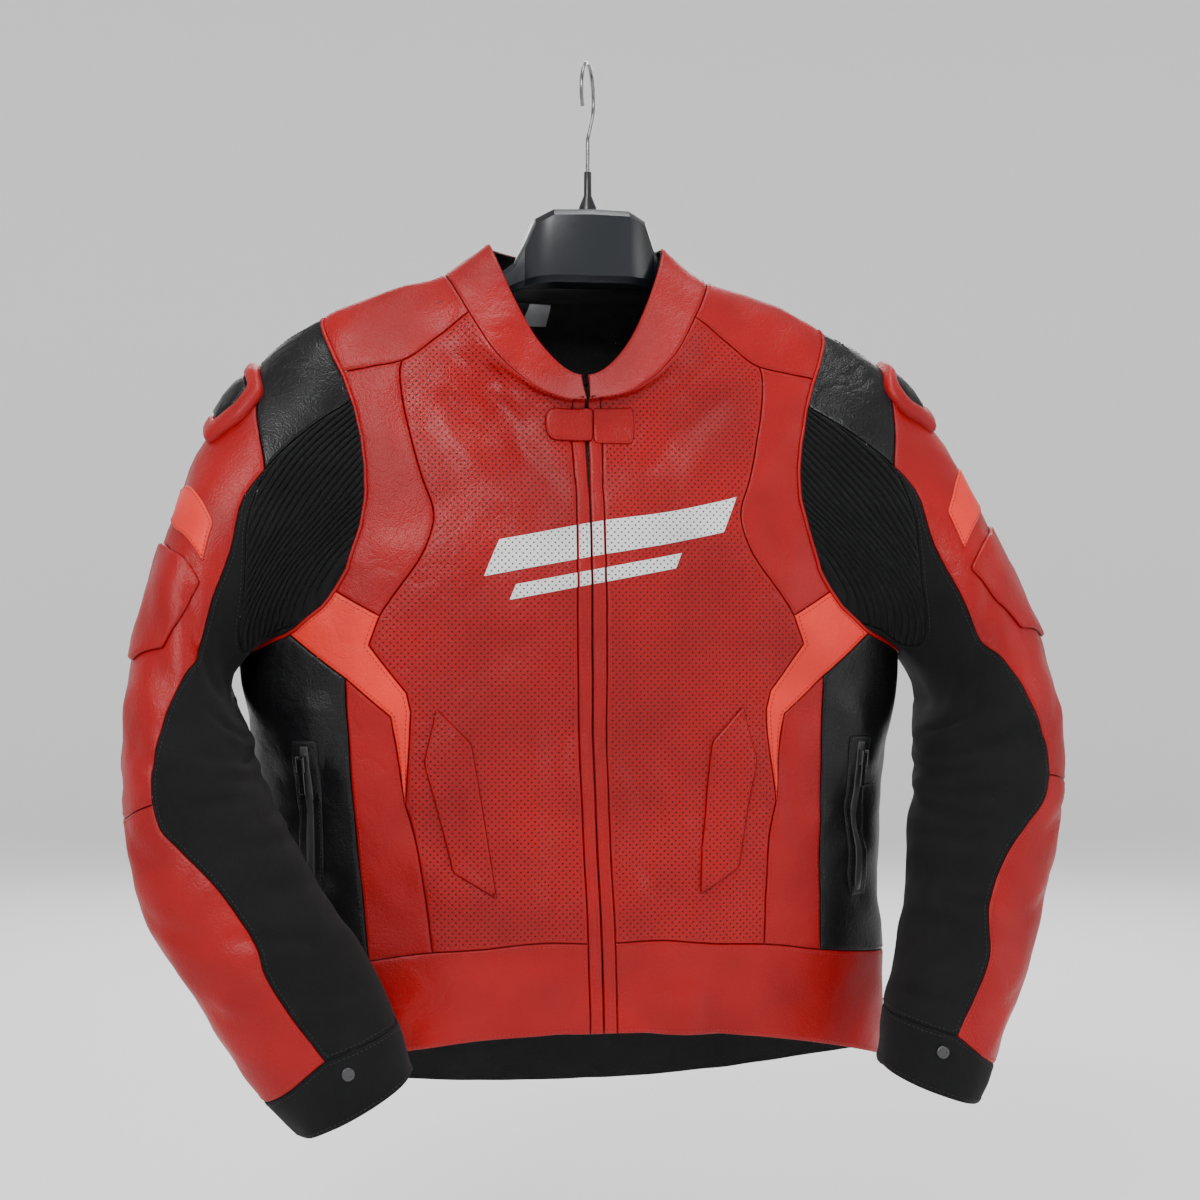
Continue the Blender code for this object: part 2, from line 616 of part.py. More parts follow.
def clear_scene():
    for thing in list(bpy.data.objects):
        bpy.data.objects.remove(thing, do_unlink=True)


def material(name, colour, roughness, metallic=0.0):
    """Plain Principled material in the colour of the piece."""
    made = bpy.data.materials.get(name)
    if made is None:
        made = bpy.data.materials.new(name)
        made.use_nodes = True
        shader = made.node_tree.nodes["Principled BSDF"]
        shader.inputs["Base Color"].default_value = (*colour, 1)
        shader.inputs["Roughness"].default_value = roughness
        shader.inputs["Metallic"].default_value = metallic
    return made


MATERIALS = {
    "red leather": ((0.42, 0.012, 0.016), 0.45, 0.0),
    "coral leather": ((0.75, 0.06, 0.05), 0.5, 0.0),
    "black leather": ((0.012, 0.012, 0.014), 0.45, 0.0),
    "black stretch": ((0.02, 0.021, 0.024), 0.85, 0.0),
    "lining": ((0.01, 0.01, 0.011), 0.9, 0.0),
    "zip metal": ((0.35, 0.35, 0.36), 0.35, 1.0),
    "zip black": ((0.02, 0.02, 0.02), 0.4, 0.0),
    "hanger plastic": ((0.03, 0.036, 0.045), 0.35, 0.0),
    "hook steel": ((0.6, 0.6, 0.6), 0.25, 1.0),
}


def finish(name, mesh_bm, look, shift=JACKET_X):
    """Turn a mesh in millimetres into a named object in metres."""
    for vert in mesh_bm.verts:
        vert.co.x += shift
        vert.co *= MM
    mesh = bpy.data.meshes.new(name)
    mesh_bm.to_mesh(mesh)
    mesh_bm.free()
    made = bpy.data.objects.new(name, mesh)
    bpy.context.collection.objects.link(made)
    mesh.materials.append(material(look, *MATERIALS[look]))
    return made


def slice_plan(flat, faces, across, along, value):
    """Cut some faces of a plan along the line across*a + along*b = value."""
    edges = {edge for face in faces for edge in face.edges}
    verts = {vert for face in faces for vert in face.verts}
    start = (value, 0, 0) if across else (0, value, 0)
    bmesh.ops.bisect_plane(flat, geom=list(verts) + list(edges) + list(faces), dist=CUT_REACH,
                           plane_co=start, plane_no=(across, along, 0))


def plan(outline, holes=(), finished=True, sewn=False, around=AROUND_TORSO):
    """Flat outline in lattice places, cut along the lattice into triangles."""
    flat = bmesh.new()
    loops = [outline] + list(holes)
    edges = []
    for loop in loops:
        verts = [flat.verts.new((a, b, 0)) for a, b in loop]
        edges.append([flat.edges.new((verts[i], verts[(i + 1) % len(verts)])) for i in range(len(verts))])
    if holes:
        every = [edge for loop in edges for edge in loop]
        bmesh.ops.triangle_fill(flat, edges=every, use_beauty=True, use_dissolve=False)
    else:
        bmesh.ops.contextual_create(flat, geom=edges[0])
    low, high = outline.min(0), outline.max(0)
    cuts = [((1, 0), value) for value in range(math.ceil(low[0]), math.floor(high[0]) + 1)]
    cuts += [((0, 1), value) for value in range(math.ceil(low[1]), math.floor(high[1]) + 1)]
    for (across, along), value in cuts:
        slice_plan(flat, flat.faces, across, along, value)
    for turned, slope in ((False, 1), (True, -1)):
        ends = outline @ (1, slope)
        for value in range(math.ceil(ends.min()), math.floor(ends.max()) + 1):
            half = [face for face in flat.faces
                    if (face.calc_center_bounds().x//(around/2) % 2 == 1) == turned]
            slice_plan(flat, half, 1, slope, value)
    bmesh.ops.remove_doubles(flat, verts=flat.verts, dist=2e-3)
    if sewn:
        crowded = [vert for vert in flat.verts if not vert.is_boundary and near_border(vert)]
        bmesh.ops.dissolve_verts(flat, verts=crowded)
    if not finished:
        return flat
    bmesh.ops.triangulate(flat, faces=flat.faces, quad_method="BEAUTY", ngon_method="BEAUTY")
    return flat


def near_border(vert):
    """Whether an inner vertex of a plan is too near the border to keep."""
    for face in vert.link_faces:
        for edge in face.edges:
            if edge.is_boundary:
                start, end = (corner.co for corner in edge.verts)
                run = end - start
                share = min(max((vert.co - start).dot(run)/run.length_squared, 0), 1)
                if (vert.co - start - run*share).length < BORDER_CLEAR:
                    return True
    return False


def wall(name, surface, flat, look, high=0.0, low=-LEATHER, gap=SEAM_GAP, lift=None, shift=JACKET_X):
    """Closed wall over a flat plan, its outer face at high and its inner face at low."""
    flat.verts.index_update()
    flat.normal_update()
    places = np.array([vert.co[:2] for vert in flat.verts])
    points, normals = surface.at(places[:, 0], places[:, 1])
    keys = [tuple(point) for point in np.round(points[:, ::-1], 3)]
    points = points + pull_in(flat, points, normals*surface.handed, gap/2)
    raised = np.full(len(points), float(high))
    if lift is not None:
        inside = np.array([not vert.is_boundary for vert in flat.verts])
        raised += lift(places)*inside
    outer = points + normals*raised[:, None]
    inner = points + normals*low
    made = bmesh.new()
    top = [made.verts.new(point) for point in outer]
    bottom = [made.verts.new(point) for point in inner]
    for face in flat.faces:
        if face.normal.z < 0:
            face.normal_flip()
    for face in flat.faces:
        ring = [vert.index for vert in face.verts]
        made.faces.new([top[i] for i in ring])
        made.faces.new([bottom[i] for i in reversed(ring)])
        for loop in face.loops:
            if len(loop.edge.link_faces) == 1:
                i, j = loop.vert.index, loop.link_loop_next.vert.index
                if keys[i] > keys[j]:
                    made.faces.new((top[j], top[i], bottom[j]))
                    made.faces.new((top[i], bottom[i], bottom[j]))
                else:
                    made.faces.new((top[j], top[i], bottom[i]))
                    made.faces.new((top[j], bottom[i], bottom[j]))
    if surface.handed < 0:
        bmesh.ops.reverse_faces(made, faces=made.faces)
    flat.free()
    return finish(name, made, look, shift)


def pull_in(flat, points, normals, distance):
    """Move of each border vertex into its own panel, square to its two border edges."""
    move = np.zeros_like(points)
    inward = [[] for _ in points]
    for edge in flat.edges:
        if len(edge.link_loops) == 1:
            loop = edge.link_loops[0]
            i, j = loop.vert.index, loop.link_loop_next.vert.index
            run = points[j] - points[i]
            upward = 1 if loop.face.normal.z > 0 else -1
            for end in (i, j):
                side = np.cross(normals[end], run)*upward
                inward[end].append(side/np.linalg.norm(side))
    for i, sides in enumerate(inward):
        if len(sides) == 2:
            scale = 1/max(1 + float(np.dot(*sides)), 0.05)
            move[i] = (sides[0] + sides[1])*distance*scale
    return move


def mirror_places(outline):
    """The same outline on the wearer's right half."""
    return np.stack([AROUND_TORSO - outline[:, 0], outline[:, 1]], 1)[::-1]


BODY_LOOKS = {
    "front_strip": "red leather", "front_panel": "red leather", "yoke": "red leather",
    "chest_side": "red leather", "flash": "coral leather", "waist_side": "red leather",
    "side_panel": "black leather", "hem_band": "red leather",
}


def body_panels(cutter, torso):
    """Every panel that has a left and a right, then the back and its hem band."""
    for name, runs in PANELS.items():
        outline = cutter.outline(runs)
        look = BODY_LOOKS[name]
        wall(name + "_left", torso, plan(outline, sewn=True), look)
        wall(name + "_right", torso, plan(mirror_places(outline), sewn=True), look)
    back_half = (("back yoke", "neck back", "back yoke armhole"),
                 ("armhole", "back yoke armhole", "back side armhole"),
                 ("back side", "back side armhole", "band back"))
    band_line, marks = cutter.seams["band"]
    back = np.concatenate([cutter.outline(back_half), band_line[marks["band back"]:-1]])
    wall("back_panel", torso, plan(close_back(back)), "red leather")
    hem_corner = cutter.place("hem middle")
    outline = np.concatenate([[hem_corner], band_line[marks["band middle"]:-1]])
    wall("hem_band_back", torso, plan(close_back(outline)), "red leather")


def close_back(left):
    """Outline across the centre back from its left half."""
    right = np.stack([AROUND_TORSO - left[:, 0], left[:, 1]], 1)[::-1]
    return np.concatenate([left, right])


def sleeve_lattice(angle, per_cent):
    """Lattice place of an angle and a share of the sleeve's length."""
    return np.array([angle*AROUND_SLEEVE/360, per_cent*ALONG_SLEEVE/100], float)


def sleeve_seam(name):
    """Lattice places along a sleeve seam, with every corner kept."""
    places = np.array([sleeve_lattice(*stop) for stop in SLEEVE_SEAMS[name]])
    kind = "line" if name == "cuff edge" else "curve"
    return curve_through(places, kind)


def sleeve_outline(runs, stops):
    places = []
    for name, first, last in runs:
        if name == "armhole":
            turn = 360 if first < 0 else 0
            angles = armhole_angles(stops, first + turn, last + turn)
            run = np.array([sleeve_lattice(angle - turn, 0) for angle in angles])
        else:
            run = sleeve_seam(name)
            if first < 0:
                run = run[::-1]
            run = run + sleeve_lattice(last, 0)
        places.extend(run[:-1])
    return np.array(places)


def across_ribs(places):
    """Distance across the ribs at each lattice place of the ribbed panel."""
    angles = places[:, 0]*360/AROUND_SLEEVE
    table = np.array(RIB_RISE, float)
    columns = np.arange(RIB_COLUMNS)*360/AROUND_SLEEVE
    at_columns = np.interp(columns, table[:, 0], table[:, 1])
    rise = np.interp(angles, columns, at_columns)
    return rise - RIB_FALL*places[:, 1]*100/ALONG_SLEEVE


def rib_lift(places):
    """Ribs as a saw of ridges and valleys."""
    phase = np.mod(across_ribs(places)/RIB_PITCH, 1)
    return RIB_HEIGHT*(1 - np.abs(2*phase - 1))


def ribbed_plan(outline):
    """Flat plan cut along each ridge and valley of the ribs."""
    flat = plan(outline, finished=False, sewn=True, around=AROUND_SLEEVE)
    for vert in flat.verts:
        vert.co.z = vert.co.y
        vert.co.y = across_ribs(np.array([vert.co[:2]]))[0]
    heights = [vert.co.y for vert in flat.verts]
    half = RIB_PITCH/2
    for step in range(math.ceil(min(heights)/half), math.floor(max(heights)/half) + 1):
        bmesh.ops.bisect_plane(flat, geom=flat.verts[:] + flat.edges[:] + flat.faces[:],
                               dist=RIB_REACH, plane_co=(0, step*half, 0), plane_no=(0, 1, 0))
    for vert in flat.verts:
        vert.co.y = vert.co.z
        vert.co.z = 0
    bmesh.ops.triangulate(flat, faces=flat.faces, quad_method="BEAUTY", ngon_method="BEAUTY")
    return flat


def sleeve_panels(side, surface, stops):
    for name, runs in SLEEVE_PANELS.items():
        outline = sleeve_outline(runs, stops)
        look = SLEEVE_LOOKS[name]
        if name == "rib_panel":
            wall(f"{name}_{side}", surface, ribbed_plan(outline), look, lift=rib_lift)
        else:
            wall(f"{name}_{side}", surface, plan(outline, sewn=True, around=AROUND_SLEEVE), look)


def laid_on(name, surface, outline, look, high, holes=(), lift=None, low=LAID_ON):
    """Patch laid on a panel, with its inner face just clear of it."""
    flat = plan(outline, holes, around=surface.columns)
    return wall(name, surface, flat, look, high=high, low=low, gap=0.0, lift=lift)


def dome(middle, reach, height):
    """Height of a low dome round a lattice place."""
    def lift(places):
        away = np.linalg.norm((places - middle)/reach, axis=1)
        return height*np.clip(1 - away**2, 0, 1)
    return lift


def sleeve_trim(side, surface):
    """Flash, elbow patch, shoulder cap and snap of one sleeve."""
    def corners(rows):
        return np.array([sleeve_lattice(*row) for row in rows])
    laid_on(f"arm_flash_{side}", surface, corners(ARM_FLASH), "coral leather", 1.6)
    laid_on(f"elbow_patch_{side}", surface, corners(ELBOW_PATCH), "red leather", 2.8)
    laid_on(f"cap_frame_{side}", surface, corners(CAP_OUTER), "red leather", 7.0, holes=[corners(CAP_INNER)])
    middle = sleeve_lattice(0, 13.3)
    reach = sleeve_lattice(26, 2.6)
    laid_on(f"cap_plate_{side}", surface, corners(CAP_PLATE), "black leather", 4.0,
            lift=dome(middle, reach, 3.0))
    stud(f"cuff_snap_{side}", surface, sleeve_lattice(*SNAP_PLACE), 5.5, 0.6, 2.8)


def local_frame(surface, place):
    """Point, sideways, upward and outward directions on a surface."""
    a, b = place
    near, _ = surface.at([a, a + 0.02, a], [b, b, b + 0.02])
    point = near[0]
    outward = np.cross(near[1] - point, near[2] - point)*surface.handed
    outward /= np.linalg.norm(outward)
    upward = np.array([0, 0, 1.0])
    upward -= upward.dot(outward)*outward
    upward /= np.linalg.norm(upward)
    return point, np.cross(upward, outward), upward, outward


def set_in_frame(mesh_bm, frame):
    point, sideways, upward, outward = frame
    for vert in mesh_bm.verts:
        x, y, z = vert.co
        vert.co = point + x*sideways + y*upward + z*outward
    bmesh.ops.recalc_face_normals(mesh_bm, faces=mesh_bm.faces)


def stud(name, surface, place, radius, low, high):
    """Round press stud on the surface."""
    made = bmesh.new()
    bmesh.ops.create_cone(made, cap_ends=True, segments=20, radius1=radius, radius2=radius*0.8,
                          depth=high - low)
    for vert in made.verts:
        vert.co.z += (high + low)/2
    set_in_frame(made, local_frame(surface, place))
    finish(name, made, "zip metal")


def prism(profile, start, end):
    """Closed prism over a profile in sideways and outward, from start to end upward."""
    made = bmesh.new()
    near = [made.verts.new((x, start, z)) for x, z in profile]
    far = [made.verts.new((x, end, z)) for x, z in profile]
    made.faces.new(near)
    made.faces.new(far[::-1])
    for i in range(len(profile)):
        j = (i + 1) % len(profile)
        made.faces.new((near[j], near[i], far[i], far[j]))
    return made


def elevation_outline(half, corners, sign=1):
    """Lattice outline of corners given in front view."""
    places = []
    for x, z in corners:
        a, b = find(half, "F", abs(x), z)
        if x*sign < 0:
            a = -a
        places.append((a, b))
    return np.array(places)


SLIDER_LOW = 3.2
PULL_AXIS = 6.1
PULL_EYE = 3.4
SLIDER_PROFILE = ((-4, SLIDER_LOW), (4, SLIDER_LOW), (4, 7.2), (2.9, 7.2), (2.9, 5.1), (-2.9, 5.1),
                  (-2.9, 7.2), (-4, 7.2))
PULL_LENGTH = 27.0


def pocket(side, half, torso):
    """Zipped pocket on the side panel: welt, chain, slider and hanging pull."""
    sign = 1 if side == "left" else -1

    def box(width, top, low):
        x0, x1 = POCKET_X - width/2, POCKET_X + width/2
        corners = ((x0, low), (x1, low), (x1, top), (x0, top))
        outline = np.array([find(half, "F", x, z) for x, z in corners])
        return outline if sign > 0 else mirror_places(outline)
    laid_on(f"pocket_welt_{side}", torso, box(WELT, POCKET_TOP, POCKET_LOW), "black leather", 1.4)
    laid_on(f"pocket_chain_{side}", torso, box(CHAIN, POCKET_TOP - 4, POCKET_LOW + 4), "zip black", 2.6,
            low=1.8)
    a, b = find(half, "F", POCKET_X, POCKET_TOP - 17)
    frame = local_frame(torso, (a if sign > 0 else AROUND_TORSO - a, b))
    slider = prism(SLIDER_PROFILE, -6, 6)
    set_in_frame(slider, frame)
    finish(f"pocket_slider_{side}", slider, "zip metal")
    pull = prism(((-2.5, PULL_AXIS - 0.6), (2.5, PULL_AXIS - 0.6), (2.5, PULL_AXIS + 0.6),
                  (-2.5, PULL_AXIS + 0.6)), 4 - PULL_LENGTH, 4.0)
    set_in_frame(pull, frame)
    tab = finish(f"pocket_pull_{side}", pull, "zip metal")
    point, _, upward, outward = frame
    axis_point = point + upward*PULL_EYE + outward*PULL_AXIS
    origin_at(tab, (axis_point + np.array([JACKET_X, 0, 0]))*MM)


def origin_at(thing, point):
    """Move an object's origin without moving its shape."""
    for vert in thing.data.vertices:
        vert.co = [c - p for c, p in zip(vert.co, point)]
    thing.location = point


def collar_surface(torso):
    """Standing collar from the neck seam to its upper edge."""
    width, front, back, side, front_rise, back_rise = COLLAR_TOP
    left = evenly(half_ring(width, front, back, side, front_rise, back_rise, 2.0), AROUND_TORSO//2*FINE + 1)
    top = np.concatenate([left, left[-2:0:-1]*np.array([-1, 1, 1])])
    columns = np.arange(AROUND_TORSO*FINE)/FINE
    bottom, _ = torso.at(columns, np.full(len(columns), float(UP_TORSO)))
    share = np.linspace(0, 1, UP_COLLAR*FINE + 1)[:, None, None]
    surface = Surface(bottom*(1 - share) + top*share)
    shared = torso.normals[-1] + surface.normals[0]
    shared /= np.linalg.norm(shared, axis=1)[:, None]
    torso.normals[-1] = shared
    surface.normals[0] = shared
    return surface


def collar(surface, half):
    slit = find(half, "F", HALF_SLIT, "neck")[0]
    outline = np.array([(slit, 0), (AROUND_TORSO - slit, 0), (AROUND_TORSO - slit*3, UP_COLLAR),
                        (slit*3, UP_COLLAR)])
    wall("collar", surface, plan(outline), "red leather")
    lining("collar_lining", surface, rectangle(1, AROUND_TORSO - 1, 0, UP_COLLAR))


def lining(name, surface, outline):
    """Thin lining just inside the leather."""
    wall(name, surface, plan(outline), "lining", high=-LEATHER - 0.4, low=-LEATHER - 0.4 - LINING)


def linings(torso):
    """Linings that show inside the back of the neck and of the hem."""
    quarter = AROUND_TORSO/4
    left = np.array([(quarter + 4, UP_TORSO - 3), (quarter + 1, UP_TORSO)])
    lining("neck_lining", torso, np.concatenate([left, mirror_places(left)]))
    lining("hem_lining", torso, rectangle(quarter, 3*quarter, 0, 2))
    wall("front_zip_tape", torso, plan(rectangle(-0.3, 0.3, 0, UP_TORSO - 1)), "zip black",
         high=-LEATHER - 0.4, low=-LEATHER - 1.6, gap=0.0)


def rectangle(a0, a1, b0, b1):
    return np.array([(a0, b0), (a1, b0), (a1, b1), (a0, b1)])


def rounded_section(x, top, bottom, half_depth):
    """Section of the hanger's head, a rectangle with its corners cut."""
    cut = HANGER_CUT
    low, high = bottom + cut, top - cut
    return [(x, -half_depth, low), (x, -half_depth, high), (x, cut - half_depth, top),
            (x, half_depth - cut, top), (x, half_depth, high), (x, half_depth, low),
            (x, half_depth - cut, bottom), (x, cut - half_depth, bottom)]


def hanger_head():
    """Middle of the hanger, lofted through its sections from end to end."""
    made = bmesh.new()
    rows = [(-x, top, low, deep) for x, top, low, deep in HANGER_HEAD[:0:-1]] + list(HANGER_HEAD)
    rings = [[made.verts.new(point) for point in rounded_section(*row)] for row in rows]
    for before, after in zip(rings, rings[1:]):
        for i in range(8):
            j = (i + 1) % 8
            made.faces.new((before[i], before[j], after[j], after[i]))
    made.faces.new(rings[0])
    made.faces.new(rings[-1][::-1])
    bmesh.ops.recalc_face_normals(made, faces=made.faces)
    return finish("hanger", made, "hanger plastic", shift=0.0)


def hanger(torso, half):
    """Hanger: the head joined to two arms that follow the inside of the shoulders."""
    head = hanger_head()
    quarter = AROUND_TORSO/4
    outer = find(half, "S", 0, -206)[1]
    inner = UP_TORSO - 0.3
    for side, middle in (("left", quarter), ("right", 3*quarter)):
        arm = wall(f"hanger_arm_{side}", torso,
                   plan(rectangle(middle - 0.9, middle + 0.9, outer, inner)), "hanger plastic",
                   high=-LEATHER - 0.4, low=-LEATHER - 0.4 - HANGER_DEPTH, gap=0.0)
        arm.hide_render = True
        arm.display_type = "WIRE"
        join = head.modifiers.new(f"arm {side}", "BOOLEAN")
        join.operation = "UNION"
        join.object = arm


def hook():
    """Wire hook with a straight stem, turned about the vertical."""
    turn = math.radians(HOOK_TURN)
    centre = HOOK_RADIUS + WIRE
    route = [(0, -117.6), (0, -100), (0, -80), (0, -64), (1, -58), (6, -52)]
    middle = -HOOK_RADIUS
    for step in range(0, 15):
        angle = math.radians(-52 + step*19)
        route.append((centre*math.cos(angle), middle + centre*math.sin(angle)))
    curve = bpy.data.curves.new("hook", "CURVE")
    curve.dimensions = "3D"
    curve.bevel_depth = WIRE*MM
    curve.bevel_resolution = 2
    curve.use_fill_caps = True
    line = curve.splines.new("POLY")
    line.points.add(len(route) - 1)
    for point, (r, z) in zip(line.points, route):
        point.co = (r*math.cos(turn)*MM, r*math.sin(turn)*MM, z*MM, 1)
    curve.materials.append(material("hook steel", *MATERIALS["hook steel"]))
    made = bpy.data.objects.new("hook", curve)
    bpy.context.collection.objects.link(made)


def socket():
    """Flared plastic socket between hanger and hook, turned about the stem."""
    made = bmesh.new()
    ring = [made.verts.new((r, 0, z)) for r, z in SOCKET]
    edges = [made.edges.new((ring[i], ring[(i + 1) % len(ring)])) for i in range(len(ring))]
    bmesh.ops.spin(made, geom=ring + edges, cent=(0, 0, 0), axis=(0, 0, 1), angle=2*math.pi, steps=20,
                   use_merge=True)
    bmesh.ops.recalc_face_normals(made, faces=made.faces)
    finish("hook_socket", made, "hanger plastic", shift=0.0)


def main():
    clear_scene()
    half = torso_half()
    cutter = Cutter(half)
    torso = torso_surface(half)
    standing = collar_surface(torso)
    sleeves = {side: sleeve_surface(side, cutter, torso) for side in ("left", "right")}
    body_panels(cutter, torso)
    for side, surface in sleeves.items():
        sleeve_panels(side, surface, cutter.stops)
        sleeve_trim(side, surface)
        sign = 1 if side == "left" else -1
        vent = elevation_outline(half, VENT)
        laid_on(f"vent_patch_{side}", torso, vent if sign > 0 else mirror_places(vent), "red leather", 1.4)
        pocket(side, half, torso)
    collar(standing, half)
    laid_on("strap_tab", torso, elevation_outline(half, STRAP_TAB), "red leather", 2.6)
    laid_on("strap_base", torso, elevation_outline(half, STRAP_BASE), "red leather", 1.9)
    linings(torso)
    hanger(torso, half)
    hook()
    socket()


main()
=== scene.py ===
"""Looks of a leather racing jacket on its moulded hanger.

Tables are in millimetres, in the jacket's own frame: +X is the wearer's left, -Y is the
front and +Z is up. Meshes are in metres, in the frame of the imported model. Places on the
body and the sleeves are given on a lattice, round and along, as the maker's panels are.
"""
import math

import bmesh
import bpy
import numpy as np
from bpy.props import FloatProperty, FloatVectorProperty, PointerProperty
from mathutils import Matrix, Vector, noise


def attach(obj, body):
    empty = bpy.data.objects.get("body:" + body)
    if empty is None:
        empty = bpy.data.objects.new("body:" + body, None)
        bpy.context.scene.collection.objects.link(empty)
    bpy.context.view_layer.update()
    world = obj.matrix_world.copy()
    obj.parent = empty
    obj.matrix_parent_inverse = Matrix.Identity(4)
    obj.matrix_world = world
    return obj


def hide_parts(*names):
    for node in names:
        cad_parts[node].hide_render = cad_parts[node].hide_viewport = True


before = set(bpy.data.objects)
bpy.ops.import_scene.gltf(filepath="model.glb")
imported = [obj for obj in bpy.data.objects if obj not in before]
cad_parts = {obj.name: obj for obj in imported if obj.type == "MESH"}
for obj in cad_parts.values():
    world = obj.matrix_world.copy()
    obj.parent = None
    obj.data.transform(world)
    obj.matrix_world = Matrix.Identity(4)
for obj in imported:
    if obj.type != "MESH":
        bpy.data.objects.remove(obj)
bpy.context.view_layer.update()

bl_info = {
    "name": "Leather Racing Jacket",
    "version": (1, 0, 0),
    "blender": (4, 5, 0),
    "location": "3D View > Sidebar > Jacket",
    "description": "Builds the looks of a leather racing jacket that hangs on a hanger",
    "category": "Object",
}

MM = 0.001
# How far the jacket hangs to the wearer's right of the hook.
JACKET_X = -10.0
# Lattice cells round and up each shape, fine steps in a cell, and cuts of a panel in a cell.
AROUND_TORSO = 32
UP_TORSO = 16
AROUND_SLEEVE = 12
ALONG_SLEEVE = 16
UP_COLLAR = 2
FINE = 8
CUTS = 6
LEATHER = 1.8
COLLAR_LEATHER = 2.2
LINING = 0.9
# Room between the leather and the lining inside it.
LINING_GAP = 0.6
HALF_SLIT = 1.0
CLOSED_SLIT = 0.2
STRIP = 9.5
RIB_PITCH = 4.0
RIB_HEIGHT = 2.3
RIB_SHARPNESS = 0.7
RIB_COLUMNS = 10
SLEEVE_SQUARENESS = 2.2
# Per cent of a sleeve's length as degrees round it, so that a fold's width is the same both ways.
DEGREES_PER_CENT = 5.2
ARMHOLE_STEP = 15
ARMHOLE_BEND = 40
BODY_CLEARANCE = 3.5
ZIP_SWING = 9
CREASE_DEPTH = 1.7
# Size and height of the soft unevenness of each surface.
BODY_SLACK = ((46, 2.6), (19, 1.1))
SLEEVE_SLACK = ((40, 2.8), (17, 1.2))
COLLAR_SLACK = (30, 1.4)
# Rows along a panel's border: how far in, and how far down they are rolled.
BORDER_INSETS = (0.15, 1.2, 3.0)
# The drop of each row also sets how much painted shade darkens the leather along the seam.
BORDER_DROP = (0.8, 0.18, 0.0)
PATCH_INSETS = (0, 0.9, 2.2)
# An outline's far side is near enough to limit its inset where it is this much nearer across.
TIP_SHARPNESS = 2.2
TIP_SHARE = 0.3

# Torso rings from hem to neck: height at the side, half width, depth in front, depth
# behind, rise at the centre front, rise at the centre back, squareness.
TORSO_RINGS = (
    (-794, 250, 90, 68, 38, -30, 2.35),
    (-712, 248, 92, 70, 18, -12, 2.35),
    (-640, 246, 92, 72, 4, -4, 2.35),
    (-550, 253, 92, 78, 0, 0, 2.35),
    (-470, 264, 91, 84, 0, 0, 2.35),
    (-395, 254, 88, 86, -8, 2, 2.35),
    (-325, 234, 80, 82, -34, 2, 2.3),
    (-262, 217, 70, 74, -62, 0, 2.3),
    (-210, 203, 60, 64, -84, -2, 2.25),
    (-193, 172, 60, 58, -90, -4, 2.2),
    (-180, 138, 62, 54, -95, -6, 2.15),
    (-171, 105, 70, 54, -102, -5, 2.5),
)

# Armhole, seen from the front or back: angle round the sleeve, face, x, z.
ARMHOLE = (
    (0, "F", 201, -207), (22, "F", 189, -245), (40, "F", 179, -273), (60, "F", 172, -303),
    (82, "F", 169, -335), (102, "F", 172, -366), (117, "F", 181, -398), (129, "F", 193, -420),
    (141, "F", 209, -441), (151, "F", 227, -453), (165, "F", 256, -466), (180, "S", 264, -470),
    (195, "B", 256, -464), (210, "B", 237, -449), (232, "B", 205, -418), (254, "B", 184, -370),
    (275, "B", 178, -325), (300, "B", 182, -285), (325, "B", 190, -248), (345, "B", 198, -222),
    (360, "F", 201, -207),
)

# Sleeve sections from shoulder to cuff: outer edge x, z, inner edge x, z, y of the
# middle, half depth.
SLEEVE_SECTIONS = {
    "right": (
        (-201, -206, -266, -470, 0, 60), (-232, -226, -272, -482, 0, 68),
        (-260, -248, -274, -492, -2, 74), (-288, -290, -273, -500, -6, 76),
        (-310, -350, -269, -507, -16, 74), (-330, -415, -263, -517, -34, 68),
        (-344, -476, -256, -527, -54, 62), (-349, -527, -249, -543, -72, 58),
        (-348, -574, -238, -568, -88, 54), (-341, -622, -224, -601, -101, 51),
        (-326, -666, -204, -637, -113, 48), (-300, -704, -182, -669, -124, 45),
        (-274, -744, -163, -703, -133, 42), (-248, -782, -147, -738, -140, 39),
        (-221, -808, -138, -763, -145, 36),
    ),
    "left": (
        (201, -207, 268, -469, 0, 60), (238, -226, 277, -484, 0, 70),
        (270, -247, 283, -494, -2, 76), (295, -286, 284, -502, -6, 78),
        (322, -345, 283, -509, -14, 76), (355, -412, 278, -517, -24, 70),
        (374, -468, 272, -530, -36, 65), (383, -516, 266, -549, -48, 60),
        (380, -567, 259, -577, -62, 56), (368, -621, 254, -612, -76, 52),
        (353, -666, 248, -644, -90, 49), (338, -707, 240, -677, -102, 46),
        (320, -743, 229, -709, -113, 43), (304, -772, 219, -742, -123, 40),
        (289, -804, 212, -775, -130, 38),
    ),
}

# Upper edge of the collar: half width, front depth, back depth, z at the side, rise at
# the centre front, rise at the centre back.
COLLAR_TOP = (70, 52, 50, -144, -108, -6)

# Folds in the body: face, x and z of each end, half width of the fold, height.
BODY_FOLDS = (
    ("F", -22, -470, -30, -690, 16, -4.0), ("F", -48, -500, -52, -690, 13, 3.0),
    ("F", 34, -500, 52, -680, 15, -4.0), ("F", 62, -560, 66, -690, 12, 3.0),
    ("F", -88, -250, -40, -330, 12, -3.0), ("F", -118, -300, -52, -360, 12, 2.5),
    ("F", 96, -260, 60, -330, 13, -2.5), ("F", -150, -620, -60, -672, 14, 3.0),
    ("F", 60, -724, 60, -800, 22, 7.0), ("F", -60, -716, -100, -800, 26, -3.0),
    ("F", 205, -500, 228, -560, 16, 4.0), ("F", -205, -500, -228, -560, 16, 4.0),
    ("B", -60, -560, -150, -640, 20, -4.0), ("B", 60, -560, 150, -640, 20, -4.0),
    ("B", -120, -300, -60, -420, 18, 3.0), ("B", 120, -300, 60, -420, 18, 3.0),
)

